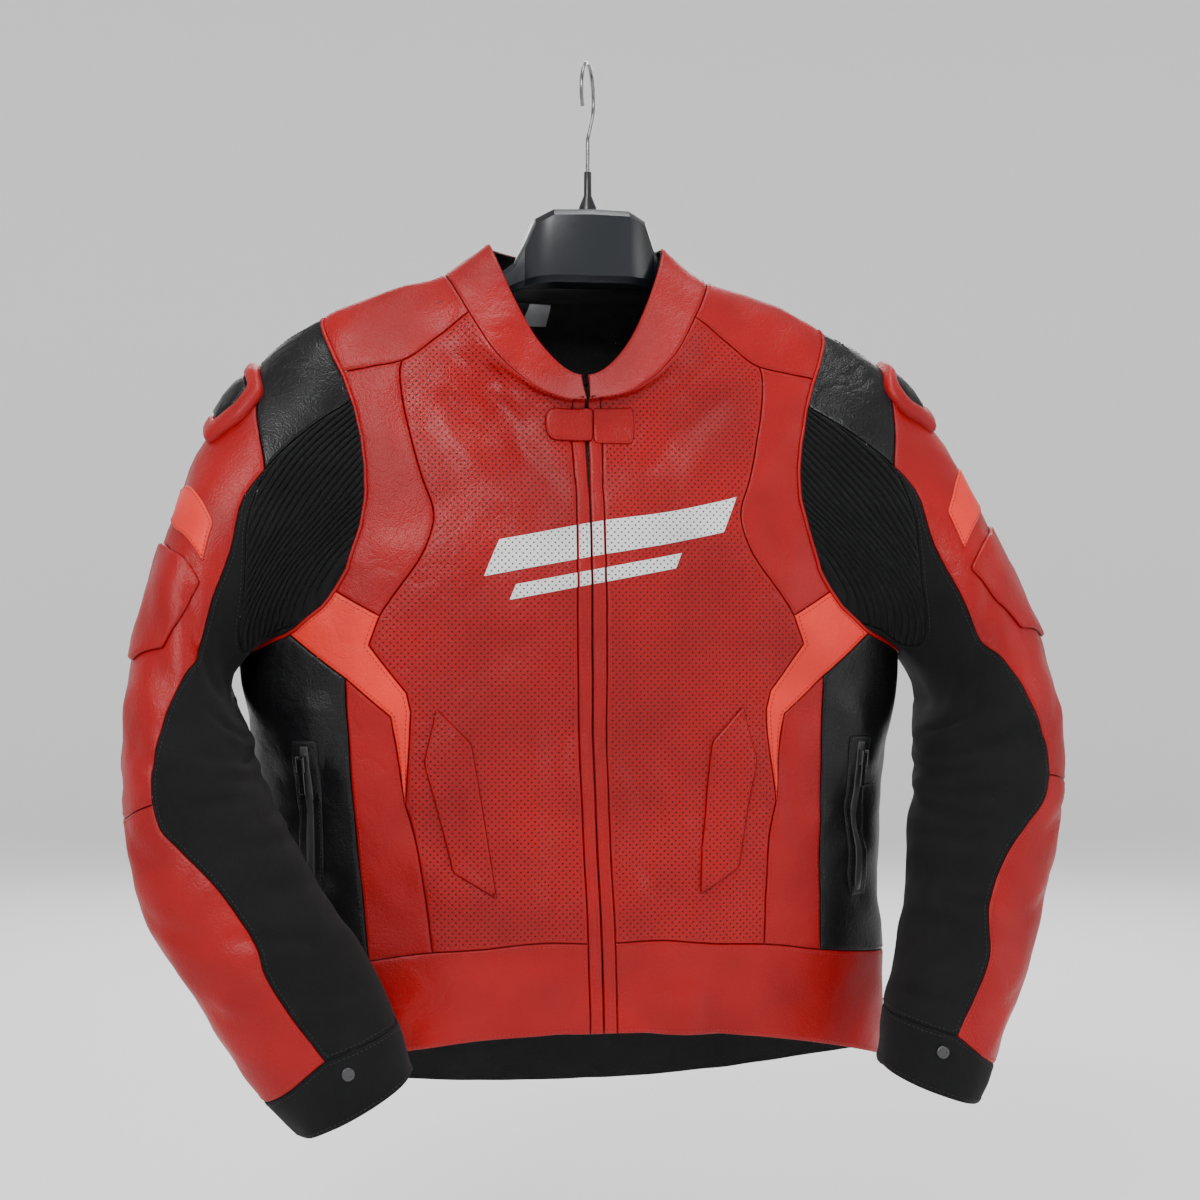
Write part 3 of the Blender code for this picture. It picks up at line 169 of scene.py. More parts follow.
# Small creases in the body, given as the folds are.
BODY_CREASES = (
    ("F", -110, -236, -62, -262, 5, -1.6), ("F", -104, -250, -58, -282, 5, -1.8),
    ("F", -112, -268, -66, -306, 5, -1.5), ("F", -78, -244, -48, -300, 5, -1.4),
    ("F", -60, -300, -24, -345, 6, -1.4), ("F", -128, -286, -96, -330, 6, -1.2),
    ("F", 104, -238, 70, -262, 5, -1.2), ("F", 118, -262, 80, -296, 6, -1.2),
    ("F", 74, -286, 44, -330, 6, -1.2), ("F", -16, -520, -34, -560, 6, -1.4),
    ("F", -14, -590, -40, -640, 7, -1.5), ("F", -70, -610, -30, -660, 6, -1.4),
    ("F", 20, -540, 46, -590, 7, -1.5), ("F", 26, -620, 70, -672, 7, -1.6),
    ("F", 90, -600, 66, -664, 6, -1.2), ("F", -110, -560, -96, -640, 6, -1.2),
    ("F", -150, -520, -142, -600, 6, -1.3), ("F", 148, -520, 158, -610, 6, -1.3),
    ("F", 20, -730, 40, -780, 8, -1.8), ("F", 84, -722, 96, -784, 9, -1.8),
    ("F", -30, -730, -36, -786, 9, -1.6), ("F", -140, -726, -150, -790, 9, -1.4),
    ("F", 200, -580, 226, -620, 8, -2.0), ("F", -196, -560, -226, -600, 8, -2.0),
    ("F", -200, -640, -228, -660, 8, -1.8), ("F", 198, -640, 226, -664, 8, -1.8),
    ("B", -60, -220, 60, -226, 9, -1.8), ("B", -150, -330, -110, -400, 9, -1.8),
    ("B", 150, -330, 110, -400, 9, -1.8), ("B", -120, -600, -20, -640, 10, -2.0),
    ("B", 30, -610, 130, -650, 10, -2.0), ("B", -90, -660, 40, -680, 9, -1.6),
)

# Folds in the sleeves: sleeve, angle and per cent of the length at each end, half
# width in mm, height.
SLEEVE_FOLDS = (
    ("right", 120, 40, 215, 46, 11, -4.0), ("right", 110, 47, 225, 50, 11, -5.0),
    ("right", 120, 55, 215, 54, 11, -4.0), ("right", 60, 22, 130, 28, 14, -3.5),
    ("right", 20, 30, 80, 36, 14, -3.0), ("right", 150, 72, 240, 78, 12, -3.0),
    ("left", 120, 41, 215, 45, 11, -4.0), ("left", 110, 48, 225, 50, 11, -5.0),
    ("left", 120, 56, 215, 55, 11, -4.0), ("left", 70, 24, 130, 30, 14, -3.5),
    ("left", 100, 66, 200, 70, 12, -3.5), ("left", 90, 80, 190, 84, 12, -3.0),
)

# Small creases in the sleeves, given as the folds are.
SLEEVE_CREASES = (
    ("right", 100, 34, 170, 38, 5, -1.8), ("right", 90, 43, 180, 44, 5, -2.0),
    ("right", 80, 51, 180, 51, 5, -2.2), ("right", 96, 58, 190, 60, 5, -2.0),
    ("right", 100, 64, 180, 68, 6, -1.8), ("right", 80, 70, 140, 76, 6, -1.6),
    ("right", 96, 82, 180, 86, 6, -1.8), ("right", 30, 44, 80, 47, 6, -1.4),
    ("right", 10, 54, 60, 60, 6, -1.5), ("right", 20, 66, 70, 70, 6, -1.3),
    ("right", 30, 80, 76, 84, 6, -1.3), ("right", -60, 48, 10, 50, 7, -1.6),
    ("right", -90, 56, -20, 58, 7, -1.6), ("right", 200, 30, 260, 36, 7, -2.0),
    ("left", 100, 35, 170, 38, 5, -1.8), ("left", 90, 44, 180, 45, 5, -2.0),
    ("left", 84, 52, 180, 52, 5, -2.2), ("left", 96, 60, 190, 61, 5, -2.0),
    ("left", 110, 74, 180, 77, 6, -1.8), ("left", 80, 70, 140, 72, 6, -1.6),
    ("left", 96, 86, 180, 89, 6, -1.8), ("left", 30, 43, 80, 46, 6, -1.4),
    ("left", 10, 55, 60, 60, 6, -1.5), ("left", 20, 68, 70, 72, 6, -1.3),
    ("left", 30, 82, 76, 86, 6, -1.3), ("left", -60, 48, 10, 50, 7, -1.6),
    ("left", -90, 56, -20, 58, 7, -1.6), ("left", 200, 30, 260, 36, 7, -2.0),
)

# Named corners of the body panels, wearer's left half: face, x, z, or an armhole angle.
PLACES = {
    "neck slit": ("F", HALF_SLIT, "neck"), "neck strip": ("F", HALF_SLIT + STRIP, "neck"),
    "neck yoke": ("F", 90, "neck"), "neck back": ("B", 78, "neck"),
    "yoke princess": ("F", 141, -243), "yoke armhole": 26,
    "back yoke armhole": 325, "flash armhole": 129, "flash tip armhole": 151,
    "back side armhole": 232,
    "flash inner": ("F", 160, -439), "flash side": ("F", 185, -486),
    "flash point": ("F", 143, -581),
    "hem slit": ("F", CLOSED_SLIT, "hem"), "hem strip": ("F", HALF_SLIT + STRIP, "hem"),
    "band strip": ("F", HALF_SLIT + STRIP, -687), "band princess": ("F", 128, -692),
    "band side": ("F", 175, -699), "band middle": ("S", 0, -708), "band back": ("B", 180, -716),
    "hem middle": ("S", 0, "hem"),
}

# Body seams: kind, then the corners and points that each passes through.
SEAMS = {
    "strip": ("line", "neck strip", ("F", HALF_SLIT + STRIP, -340), ("F", HALF_SLIT + STRIP, -520),
              "band strip", "hem strip"),
    "slit": ("line", "neck slit", ("F", HALF_SLIT, -320), ("F", CLOSED_SLIT, -350), ("F", CLOSED_SLIT, -520),
             "hem slit"),
    "yoke": ("curve", "neck yoke", ("F", 112, -222), "yoke princess", ("F", 166, -248), "yoke armhole"),
    "back yoke": ("curve", "neck back", ("B", 130, -214), "back yoke armhole"),
    "princess": ("curve", "yoke princess", ("F", 142, -265), ("F", 138, -290), ("F", 127, -335),
                 ("F", 119, -361), ("F", 124, -384), "flash inner"),
    "flash top": ("line", "flash armhole", "flash inner"),
    "flash in": ("line", "flash inner", ("F", 168, -461), ("F", 140, -497), ("F", 137, -511), "flash point"),
    "flash out": ("line", "flash point", ("F", 152, -515), "flash side"),
    "flash low": ("line", "flash side", "flash tip armhole"),
    "low princess": ("curve", "flash point", ("F", 136, -610), ("F", 132, -645), "band princess"),
    "side": ("curve", "flash side", ("F", 182, -560), ("F", 178, -640), "band side"),
    "back side": ("curve", "back side armhole", ("B", 202, -480), ("B", 190, -560), ("B", 183, -640),
                  "band back"),
    "band": ("curve", "band strip", ("F", 45, -686), ("F", 90, -690), "band princess", "band side",
             "band middle", "band back", ("B", 100, -722), ("B", 0, -724)),
}

# Outlines of the body panels: seams, or edges at the neck and hem, with their ends.
PANELS = {
    "front_strip": (("edge", "neck slit", "neck strip"), ("strip", "neck strip", "hem strip"),
                    ("edge", "hem strip", "hem slit"), ("slit", "hem slit", "neck slit")),
    "front_panel": (("edge", "neck strip", "neck yoke"), ("yoke", "neck yoke", "yoke princess"),
                    ("princess", "yoke princess", "flash inner"), ("flash in", "flash inner", "flash point"),
                    ("low princess", "flash point", "band princess"),
                    ("band", "band princess", "band strip"), ("strip", "band strip", "neck strip")),
    "yoke": (("edge", "neck yoke", "neck back"), ("back yoke", "neck back", "back yoke armhole"),
             ("armhole", "back yoke armhole", "yoke armhole"), ("yoke", "yoke armhole", "neck yoke")),
    "chest_side": (("yoke", "yoke princess", "yoke armhole"), ("armhole", "yoke armhole", "flash armhole"),
                   ("flash top", "flash armhole", "flash inner"), ("princess", "flash inner", "yoke princess")),
    "flash": (("armhole", "flash armhole", "flash tip armhole"),
              ("flash low", "flash tip armhole", "flash side"),
              ("flash out", "flash side", "flash point"), ("flash in", "flash point", "flash inner"),
              ("flash top", "flash inner", "flash armhole")),
    "waist_side": (("flash out", "flash point", "flash side"), ("side", "flash side", "band side"),
                   ("band", "band side", "band princess"), ("low princess", "band princess", "flash point")),
    "side_panel": (("armhole", "flash tip armhole", "back side armhole"),
                   ("back side", "back side armhole", "band back"), ("band", "band back", "band side"),
                   ("side", "band side", "flash side"), ("flash low", "flash side", "flash tip armhole")),
    "hem_band": (("band", "band strip", "band middle"), ("edge", "band middle", "hem middle"),
                 ("edge", "hem middle", "hem strip"), ("strip", "hem strip", "band strip")),
}

BODY_LOOKS = {
    "front_strip": "red leather", "front_panel": "perforated leather", "yoke": "red leather",
    "chest_side": "red leather", "flash": "coral leather", "waist_side": "red leather",
    "side_panel": "black leather", "hem_band": "red leather",
}

# Sleeve seams: angle round the sleeve and per cent of its length.
SLEEVE_SEAMS = {
    "shoulder front": ((40, 0), (52, 5), (66, 11)),
    "shoulder low": ((66, 11), (36, 11.5), (0, 10.5), (-40, 12), (-80, 13)),
    "shoulder back": ((-80, 13), (-72, 6), (-60, 0)),
    "rib edge": ((66, 11), (84, 13), (104, 13), (128, 12.5), (143, 8), (145, 0)),
    "front upper": ((66, 11), (70, 13), (86, 15), (94, 20), (95, 26), (85, 32), (71, 40), (60, 47), (58, 51)),
    "front lower": ((58, 51), (62, 54), (74, 57), (86, 61), (93, 67), (93, 73), (89, 76), (88, 83), (92, 91)),
    "elbow": ((58, 51), (0, 54), (-60, 53), (-112, 51)),
    "back upper": ((-135, 0), (-120, 20), (-112, 35), (-112, 51)),
    "back lower": ((-112, 51), (-108, 70), (-104, 92)),
    "wrist outer": ((92, 91), (60, 93), (26, 94), (-40, 93), (-104, 92)),
    "wrist inner": ((-104, 92), (-140, 92), (-180, 92)),
    "wrist front": ((180, 92), (130, 91.5), (92, 91)),
    "cuff edge": ((-180, 92), (-180, 100), (0, 100), (180, 100), (180, 92)),
}

# Sleeve panels: seams with the way they run and a turn in degrees, or armhole stretches.
SLEEVE_PANELS = {
    "shoulder": (("armhole", -60, 40), ("shoulder front", 1, 0), ("shoulder low", 1, 0),
                 ("shoulder back", 1, 0)),
    "rib_panel": (("armhole", 40, 145), ("rib edge", -1, 0), ("shoulder front", -1, 0)),
    "inner_sleeve": (("rib edge", 1, 0), ("armhole", 145, 225), ("back upper", 1, 360),
                     ("back lower", 1, 360), ("wrist inner", 1, 360), ("wrist front", 1, 0),
                     ("front lower", -1, 0), ("front upper", -1, 0)),
    "upper_sleeve": (("front upper", 1, 0), ("elbow", 1, 0), ("back upper", -1, 0), ("armhole", -135, -60),
                     ("shoulder back", -1, 0), ("shoulder low", -1, 0)),
    "forearm": (("elbow", -1, 0), ("front lower", 1, 0), ("wrist outer", 1, 0), ("back lower", -1, 0)),
    "cuff": (("wrist front", 1, 0), ("wrist outer", 1, 0), ("wrist inner", 1, 0), ("cuff edge", 1, 0)),
}

SLEEVE_LOOKS = {
    "shoulder": "black leather", "rib_panel": "black stretch", "inner_sleeve": "black stretch",
    "upper_sleeve": "red leather", "forearm": "red leather", "cuff": "black stretch",
}

# Place of each point of the armhole across the ribs: angle, millimetres.
RIB_RISE = ((0, 350), (22, 383), (40, 411), (60, 435), (82, 457), (102, 475), (117, 488), (129, 492),
            (141, 488), (151, 474), (180, 454), (210, 430))
RIB_FALL = 3.7

# Patches laid on the sleeve: angle and per cent of each corner.
ARM_FLASH = ((67, 16.6), (40, 18.2), (0, 20.4), (-50, 19.5), (-50, 22.5), (0, 23.4), (32, 22.4), (75, 19))
ELBOW_PATCH = ((80, 20), (70, 27), (58, 32), (20, 36), (-20, 37), (-55, 36), (-55, 25), (0, 25.5), (36, 24))
CAP_OUTER = ((28, 10.6), (34, 12.6), (22, 16.2), (-22, 16.2), (-34, 12.6), (-28, 10.6))
CAP_INNER = ((17, 11.7), (21, 12.9), (13, 14.9), (-13, 14.9), (-21, 12.9), (-17, 11.7))

# Patches laid on the front, wearer's left: x and z of each corner.
VENT = ((118, -508), (92, -535), (87, -570), (78, -652), (110, -632), (128, -549))
STRAP_TAB = ((4.6, -279), (-27, -279), (-32, -284), (-32, -300), (-27, -305), (4.6, -305))
STRAP_BASE = ((5, -279), (36, -278), (36, -306), (5, -306))

# Rows of the neck tape: the surface and how far up it, from the back to the collar.
TAPE_ROWS = (("torso", UP_TORSO - 0.5), ("torso", UP_TORSO - 0.06), ("collar", 0.06), ("collar", 0.4))
TAPE_DEPTH = 3.9
TAPE_THICK = 0.7
TAPE_SHORT = 1.5
# Blank woven label on the neck lining: how far round from and to, and how far up from and to.
NECK_LABEL = (16.6, 17.4, 14.35, 15.4)
LABEL_THICK = 0.5
LABEL_DEPTH = LEATHER + LINING + 0.65
STITCH_RISE = 0.1
PIPING_RISE = 0.2

# Plain slanted bars printed on the chest: x and z of the four corners from the upper left,
# clockwise, and the x where each is cut at a seam of the front.
CHEST_BARS = (
    ((-70, -381), (116, -347), (104, -375), (-82, -409)),
    ((-58, -415), (70, -391), (65, -403), (-63, -427)),
)
BAR_CUTS = (-HALF_SLIT - STRIP, 0.0, HALF_SLIT + STRIP)
BAR_GAP = 0.9
BAR_HEIGHT = 0.28
BAR_THICK = 0.3
BAR_INSETS = (0, 0.3, 0.6)

POCKET_X = 215
POCKET_TOP = -533
POCKET_LOW = -660
WELT = 18
CHAIN = 6
CHAIN_MARGIN = 4

# Camera, in millimetres: the point it looks at, its distance and its turn from the front.
AIM = (10, 0, -427)
CAMERA_DISTANCE = 1700
CAMERA_AZIMUTH = -9
LENS = 63.75
SENSOR = 36
CAMERA_REACH = 60

# Floor and wall of the stage, in metres, and its lamps: name, place, size and watts.
FLOOR_HEIGHT = -1.05
FLOOR_RADIUS = 5.0
FLOOR_BEND = 1.5
WALL_HEIGHT = 6.0
LAMPS_AIM = (0, 0, -0.45)
LAMPS = (
    ("key", (-1.1, -2.2, 1.3), (0.9, 0.7), 62),
    ("fill", (2.4, -1.6, 0.1), (1.2, 1.6), 16),
    ("top", (0.3, -0.2, 2.2), (1.4, 1.0), 40),
    ("back", (0.4, 2.6, 0.9), (2.4, 1.4), 55),
)
PALE = (0.93, 0.93, 0.93, 1)
WORLD_LIGHT = 0.55


class JacketSizes(bpy.types.PropertyGroup):
    """Sizes of the sewing and the surface of the leather."""
    stitch: FloatProperty(name="Stitch", description="Length from one stitch to the next",
                          default=0.0034, min=0.002, max=0.008, unit="LENGTH")
    thread: FloatProperty(name="Thread", description="Thickness of the sewing thread",
                          default=0.0007, min=0.0003, max=0.0015, unit="LENGTH")
    piping: FloatProperty(name="Piping", description="Thickness of the piping round the armholes",
                          default=0.0028, min=0.001, max=0.006, unit="LENGTH")
    hole_pitch: FloatProperty(name="Hole pitch", description="Distance between rows of ventilation holes",
                              default=0.0054, min=0.001, max=0.01, unit="LENGTH")
    hole_width: FloatProperty(name="Hole width", description="Width of one ventilation hole",
                              default=0.0015, min=0.0005, max=0.003, unit="LENGTH")
    grain: FloatProperty(name="Grain", description="Width of one pebble of the leather's grain",
                         default=0.0014, min=0.0005, max=0.005, unit="LENGTH")


class JacketColours(bpy.types.PropertyGroup):
    """Colours of the leather, cloth and hard pieces."""
    red: FloatVectorProperty(name="Red leather", description="Colour of the main leather",
                             default=(0.33, 0.0016, 0.0036), min=0, max=1, size=3, subtype="COLOR")
    coral: FloatVectorProperty(name="Coral leather", description="Colour of the bright flashes",
                               default=(0.84, 0.028, 0.018), min=0, max=1, size=3, subtype="COLOR")
    black: FloatVectorProperty(name="Black leather", description="Colour of the black leather",
                               default=(0.004, 0.004, 0.0048), min=0, max=1, size=3, subtype="COLOR")
    stretch: FloatVectorProperty(name="Black stretch", description="Colour of the black stretch cloth",
                                 default=(0.0032, 0.0033, 0.0038), min=0, max=1, size=3, subtype="COLOR")
    lining: FloatVectorProperty(name="Lining", description="Colour of the mesh lining",
                                default=(0.0022, 0.0022, 0.0026), min=0, max=1, size=3, subtype="COLOR")
    bars: FloatVectorProperty(name="Chest bars", description="Colour of the plain bars on the chest",
                              default=(0.74, 0.74, 0.74), min=0, max=1, size=3, subtype="COLOR")
    plastic: FloatVectorProperty(name="Hanger", description="Colour of the moulded hanger",
                                 default=(0.005, 0.007, 0.0105), min=0, max=1, size=3, subtype="COLOR")


def smooth(knots, rows, at):
    """Cubic curve through the rows of a table, one row for each knot."""
    knots = np.asarray(knots, float)
    rows = np.asarray(rows, float)
    slope = np.gradient(rows, knots, axis=0)
    i = np.clip(np.searchsorted(knots, at, side="right") - 1, 0, len(knots) - 2)
    span = (knots[i + 1] - knots[i])[:, None]
    u = (np.asarray(at, float) - knots[i])[:, None] / span
    return ((2*u**3 - 3*u**2 + 1)*rows[i] + (u**3 - 2*u**2 + u)*span*slope[i]
            + (3*u**2 - 2*u**3)*rows[i + 1] + (u**3 - u**2)*span*slope[i + 1])


def running_length(points):
    """Distance along a row of points, starting at nought."""
    steps = np.linalg.norm(np.diff(points, axis=0), axis=1)
    return np.concatenate([[0], np.cumsum(steps)])


def evenly(points, count):
    """The same curve with points the same distance apart."""
    length = running_length(points)
    at = np.linspace(0, length[-1], count)
    return np.stack([np.interp(at, length, points[:, i]) for i in range(points.shape[1])], 1)


def ease(value):
    """Nought to one with a level start and end."""
    value = np.clip(value, 0, 1)
    return value*value*(3 - 2*value)


def unit(vectors):
    """The same directions one long."""
    return vectors/np.linalg.norm(vectors, axis=-1)[..., None]


def half_ring(half_width, front, back, side, front_rise, back_rise, squareness):
    """Half a ring of the torso from centre front to centre back."""
    angle = np.linspace(-math.pi/2, math.pi/2, 721)
    across, along = np.clip(np.cos(angle), 0, 1), np.sin(angle)
    power = 2/squareness
    return np.stack([half_width*across**power,
                     np.where(along < 0, -front, back)*np.abs(along)**power,
                     side + np.where(along < 0, front_rise, back_rise)*along**2], 1)


def torso_half():
    """Fine grid of the left half of the torso, hem to neck and front to back."""
    rows = np.array(TORSO_RINGS, float)
    profile = np.stack([rows[:, 1]*0.8, rows[:, 0] + rows[:, 4]*0.4], 1)
    knots = running_length(profile)
    at = np.linspace(0, knots[-1], UP_TORSO*FINE + 1)
    rings = [half_ring(w, f, b, z, df, db, n) for z, w, f, b, df, db, n in smooth(knots, rows, at)]
    return np.array([evenly(ring, AROUND_TORSO//2*FINE + 1) for ring in rings])


def grid_normals(points):
    """Unit normals of a grid of points, its rows closed round."""
    around = np.roll(points, -1, 1) - np.roll(points, 1, 1)
    along = np.gradient(points, axis=0)
    return unit(np.cross(around, along))


def along_line(x, z, x0, z0, x1, z1):
    """Place along a line, nought to one, and the distance from it."""
    run = np.array([x1 - x0, z1 - z0], float)
    length = np.linalg.norm(run)
    place = ((x - x0)*run[0] + (z - z0)*run[1])/length**2
    nearest = np.clip(place, 0, 1)
    away = np.hypot(x - x0 - nearest*run[0], z - z0 - nearest*run[1])
    return place, away


class Surface:
    """A fine grid of points and normals, read at lattice places round (a) and along (b)."""

    def __init__(self, points, handed=1):
        self.handed = handed
        self.points = points
        self.normals = grid_normals(points)*handed
        self.columns = points.shape[1]
        self.cells = self.columns//FINE
        round_steps = np.linalg.norm(np.roll(points, -1, 1) - points, axis=2)
        self.round_length = np.cumsum(round_steps, 1) - round_steps
        self.whole_round = round_steps.sum(1)
        along_steps = np.linalg.norm(np.diff(points, axis=0), axis=2)
        self.along_length = np.concatenate([np.zeros((1, self.columns)), np.cumsum(along_steps, 0)])

    def read(self, grid, a, b, turns=None):
        """Value of a grid at lattice places, straight between its points."""
        x = np.asarray(a, float)*FINE
        y = np.clip(np.asarray(b, float)*FINE, 0, grid.shape[0] - 1)
        column = np.floor(x).astype(int)
        row = np.clip(np.floor(y).astype(int), 0, grid.shape[0] - 2)
        u, v = x - column, y - row
        corners = []
        for down in (0, 1):
            for beside in (0, 1):
                value = grid[row + down, (column + beside) % self.columns]
                if turns is not None:
                    value = value + (column + beside)//self.columns*turns[row + down]
                corners.append(value)
        if grid.ndim == 3:
            u, v = u[:, None], v[:, None]
        low = corners[0]*(1 - u) + corners[1]*u
        high = corners[2]*(1 - u) + corners[3]*u
        return low*(1 - v) + high*v

    def at(self, a, b):
        """Points and unit normals at the lattice places."""
        a, b = np.atleast_1d(np.asarray(a, float)), np.atleast_1d(np.asarray(b, float))
        return self.read(self.points, a, b), unit(self.read(self.normals, a, b))

    def flat_place(self, a, b):
        """Distance round and along from the panel's middle at the lattice places, in metres."""
        middle = np.full(len(a), (a.min() + a.max())/2)
        across = self.read(self.round_length, a, b, self.whole_round)
        across -= self.read(self.round_length, middle, b, self.whole_round)
        level = np.full(len(b), (b.min() + b.max())/2)
        along = self.read(self.along_length, a, b) - self.read(self.along_length, a, level)
        return np.stack([across, along], 1)*MM


def folds(points, normals, table):
    """Height of the folds of a table at each point of the torso."""
    height = np.zeros(points.shape[:2])
    x, y, z = points[..., 0], points[..., 1], points[..., 2]
    for face, x0, z0, x1, z1, width, depth in table:
        place, away = along_line(x, z, x0, z0, x1, z1)
        taper = ease(np.minimum(place, 1 - place)*3 + 0.35)
        same_face = ease((-y if face == "F" else y)/18)
        height += depth*np.exp(-(away/width)**2)*taper*same_face
    return height


def unevenness(points, scales):
    """All the soft unevenness of a surface, from each of its scales."""
    return sum(slack(points, size, height) for size, height in scales)


def slack(points, size, height):
    """Soft unevenness of the leather, from noise of that size at each point."""
    flat = points.reshape(-1, 3)/size
    values = np.array([noise.noise(Vector(point)) for point in flat])
    return values.reshape(points.shape[:2])*height


def centre_drift(points):
    """Sideways swing of the front below the chest, where the zip hangs to one side."""
    down = ease((-500 - points[..., 2])/270)
    front = ease(-points[..., 1]/70)
    return ZIP_SWING*down*front


def torso_surface(half):
    """Whole torso with its folds, closed round, from centre front round by the left."""
    mirrored = half[:, -2:0:-1]*np.array([-1, 1, 1])
    points = np.concatenate([half, mirrored], 1)
    normals = grid_normals(points)
    height = folds(points, normals, BODY_FOLDS) + CREASE_DEPTH*folds(points, normals, BODY_CREASES)
    height += unevenness(points, BODY_SLACK)
    points = points + normals*height[..., None]
    points[..., 0] += centre_drift(points)
    return Surface(points)


def find(half, face, x, z):
    """Lattice place of a point given in front, side or back view on the left half."""
    middle = half.shape[1]//2
    if z == "neck" or z == "hem":
        row = half.shape[0] - 1 if z == "neck" else 0
        if face == "S":
            return middle/FINE, row/FINE
        columns = np.arange(0, middle + 1) if face == "F" else np.arange(half.shape[1] - 1, middle - 1, -1)
        across = half[row, columns, 0]
        return np.interp(x, across, columns)/FINE, row/FINE
    if face == "S":
        heights = half[:, middle, 2]
        return middle/FINE, np.interp(z, heights, np.arange(len(heights)))/FINE
    columns = slice(0, middle + 1) if face == "F" else slice(middle, half.shape[1])
    grid = half[:, columns]
    away = (grid[..., 0] - x)**2 + (grid[..., 2] - z)**2
    row, column = np.unravel_index(np.argmin(away), away.shape)
    row = min(max(row, 1), grid.shape[0] - 2)
    column = min(max(column, 1), grid.shape[1] - 2)
    u = (grid[row, column + 1] - grid[row, column - 1])[[0, 2]]/2
    v = (grid[row + 1, column] - grid[row - 1, column])[[0, 2]]/2
    miss = np.array([x, z]) - grid[row, column][[0, 2]]
    step = np.linalg.lstsq(np.stack([u, v], 1), miss, rcond=None)[0]
    step = np.clip(step, -2, 2)
    start = 0 if face == "F" else middle
    return max(start + column + step[0], 0)/FINE, (row + step[1])/FINE


def armhole_path(half):
    """Lattice place of the armhole at an angle."""
    angles = [row[0] for row in ARMHOLE]
    knots = np.array([find(half, face, x, z) for _, face, x, z in ARMHOLE])
    corners = [value for value in PLACES.values() if isinstance(value, int)]
    corners += [runs[0][1] % 360 for runs in SLEEVE_PANELS.values() if runs[0][0] == "armhole"]
    bends = sorted(set(range(0, 361, ARMHOLE_STEP)) | set(corners) | {ARMHOLE_BEND})
    places = smooth(angles, knots, bends)

    def path(angle):
        turned = np.mod(np.atleast_1d(angle), 360)
        return np.stack([np.interp(turned, bends, places[:, c]) for c in (0, 1)], 1)
    return path


def armhole_angles(start, end):
    """Evenly spread angles between two corners of the armhole, the short way round."""
    if abs(end - start) > 180:
        start, end = (start, end + 360) if start > end else (start + 360, end)
    steps = max(2, round(abs(end - start)/3))
    return np.linspace(start, end, steps + 1)


def curve_through(places, kind):
    """Lattice places along a seam, about six to a lattice cell."""
    knots = running_length(places)
    result = [places[0]]
    for i in range(len(places) - 1):
        count = max(1, round((knots[i + 1] - knots[i])*CUTS))
        at = np.linspace(knots[i], knots[i + 1], count + 1)[1:]
        if kind == "curve" and len(places) > 2:
            result.extend(smooth(knots, places, at))
        else:
            result.extend(np.stack([np.interp(at, knots, places[:, c]) for c in (0, 1)], 1))
    return np.array(result)


class Cutter:
    """Works out the outlines of the body panels from the seams and corners."""

    def __init__(self, half):
        self.half = half
        self.armhole = armhole_path(half)
        self.seams = {}
        for name, (kind, *stops) in SEAMS.items():
            self.seams[name] = self.lay(kind, stops)

    def place(self, stop):
        """Lattice place of a named corner or a point."""
        value = PLACES[stop] if isinstance(stop, str) else stop
        if isinstance(value, int):
            return self.armhole(value)[0]
        return np.array(find(self.half, *value))

    def lay(self, kind, stops):
        """A seam through its stops, and where each named corner lies along it."""
        places = np.array([self.place(stop) for stop in stops])
        line = curve_through(places, kind)
        marks = {}
        for stop, knot in zip(stops, places):
            if isinstance(stop, str):
                marks[stop] = int(np.argmin(np.linalg.norm(line - knot, axis=1)))
        return line, marks

    def run(self, seam, start, end):
        """Stretch of a seam, an edge or the armhole between two corners."""
        if seam == "edge":
            return self.lay("line", (start, end))[0]
        if seam == "armhole":
            return self.armhole(armhole_angles(PLACES[start], PLACES[end]))
        line, marks = self.seams[seam]
        first, last = marks[start], marks[end]
        return line[first:last + 1] if first < last else line[last:first + 1][::-1]

    def outline(self, runs):
        """Closed outline of a panel from its seams."""
        places = []
        for seam, start, end in runs:
            places.extend(self.run(seam, start, end)[:-1])
        return np.array(places)


def armhole_point(angle, sign, cutter, torso):
    """Points of the armhole, where body and sleeve meet."""
    places = cutter.armhole(angle)
    across = places[:, 0] if sign > 0 else AROUND_TORSO - places[:, 0]
    return torso.at(across, places[:, 1])[0]


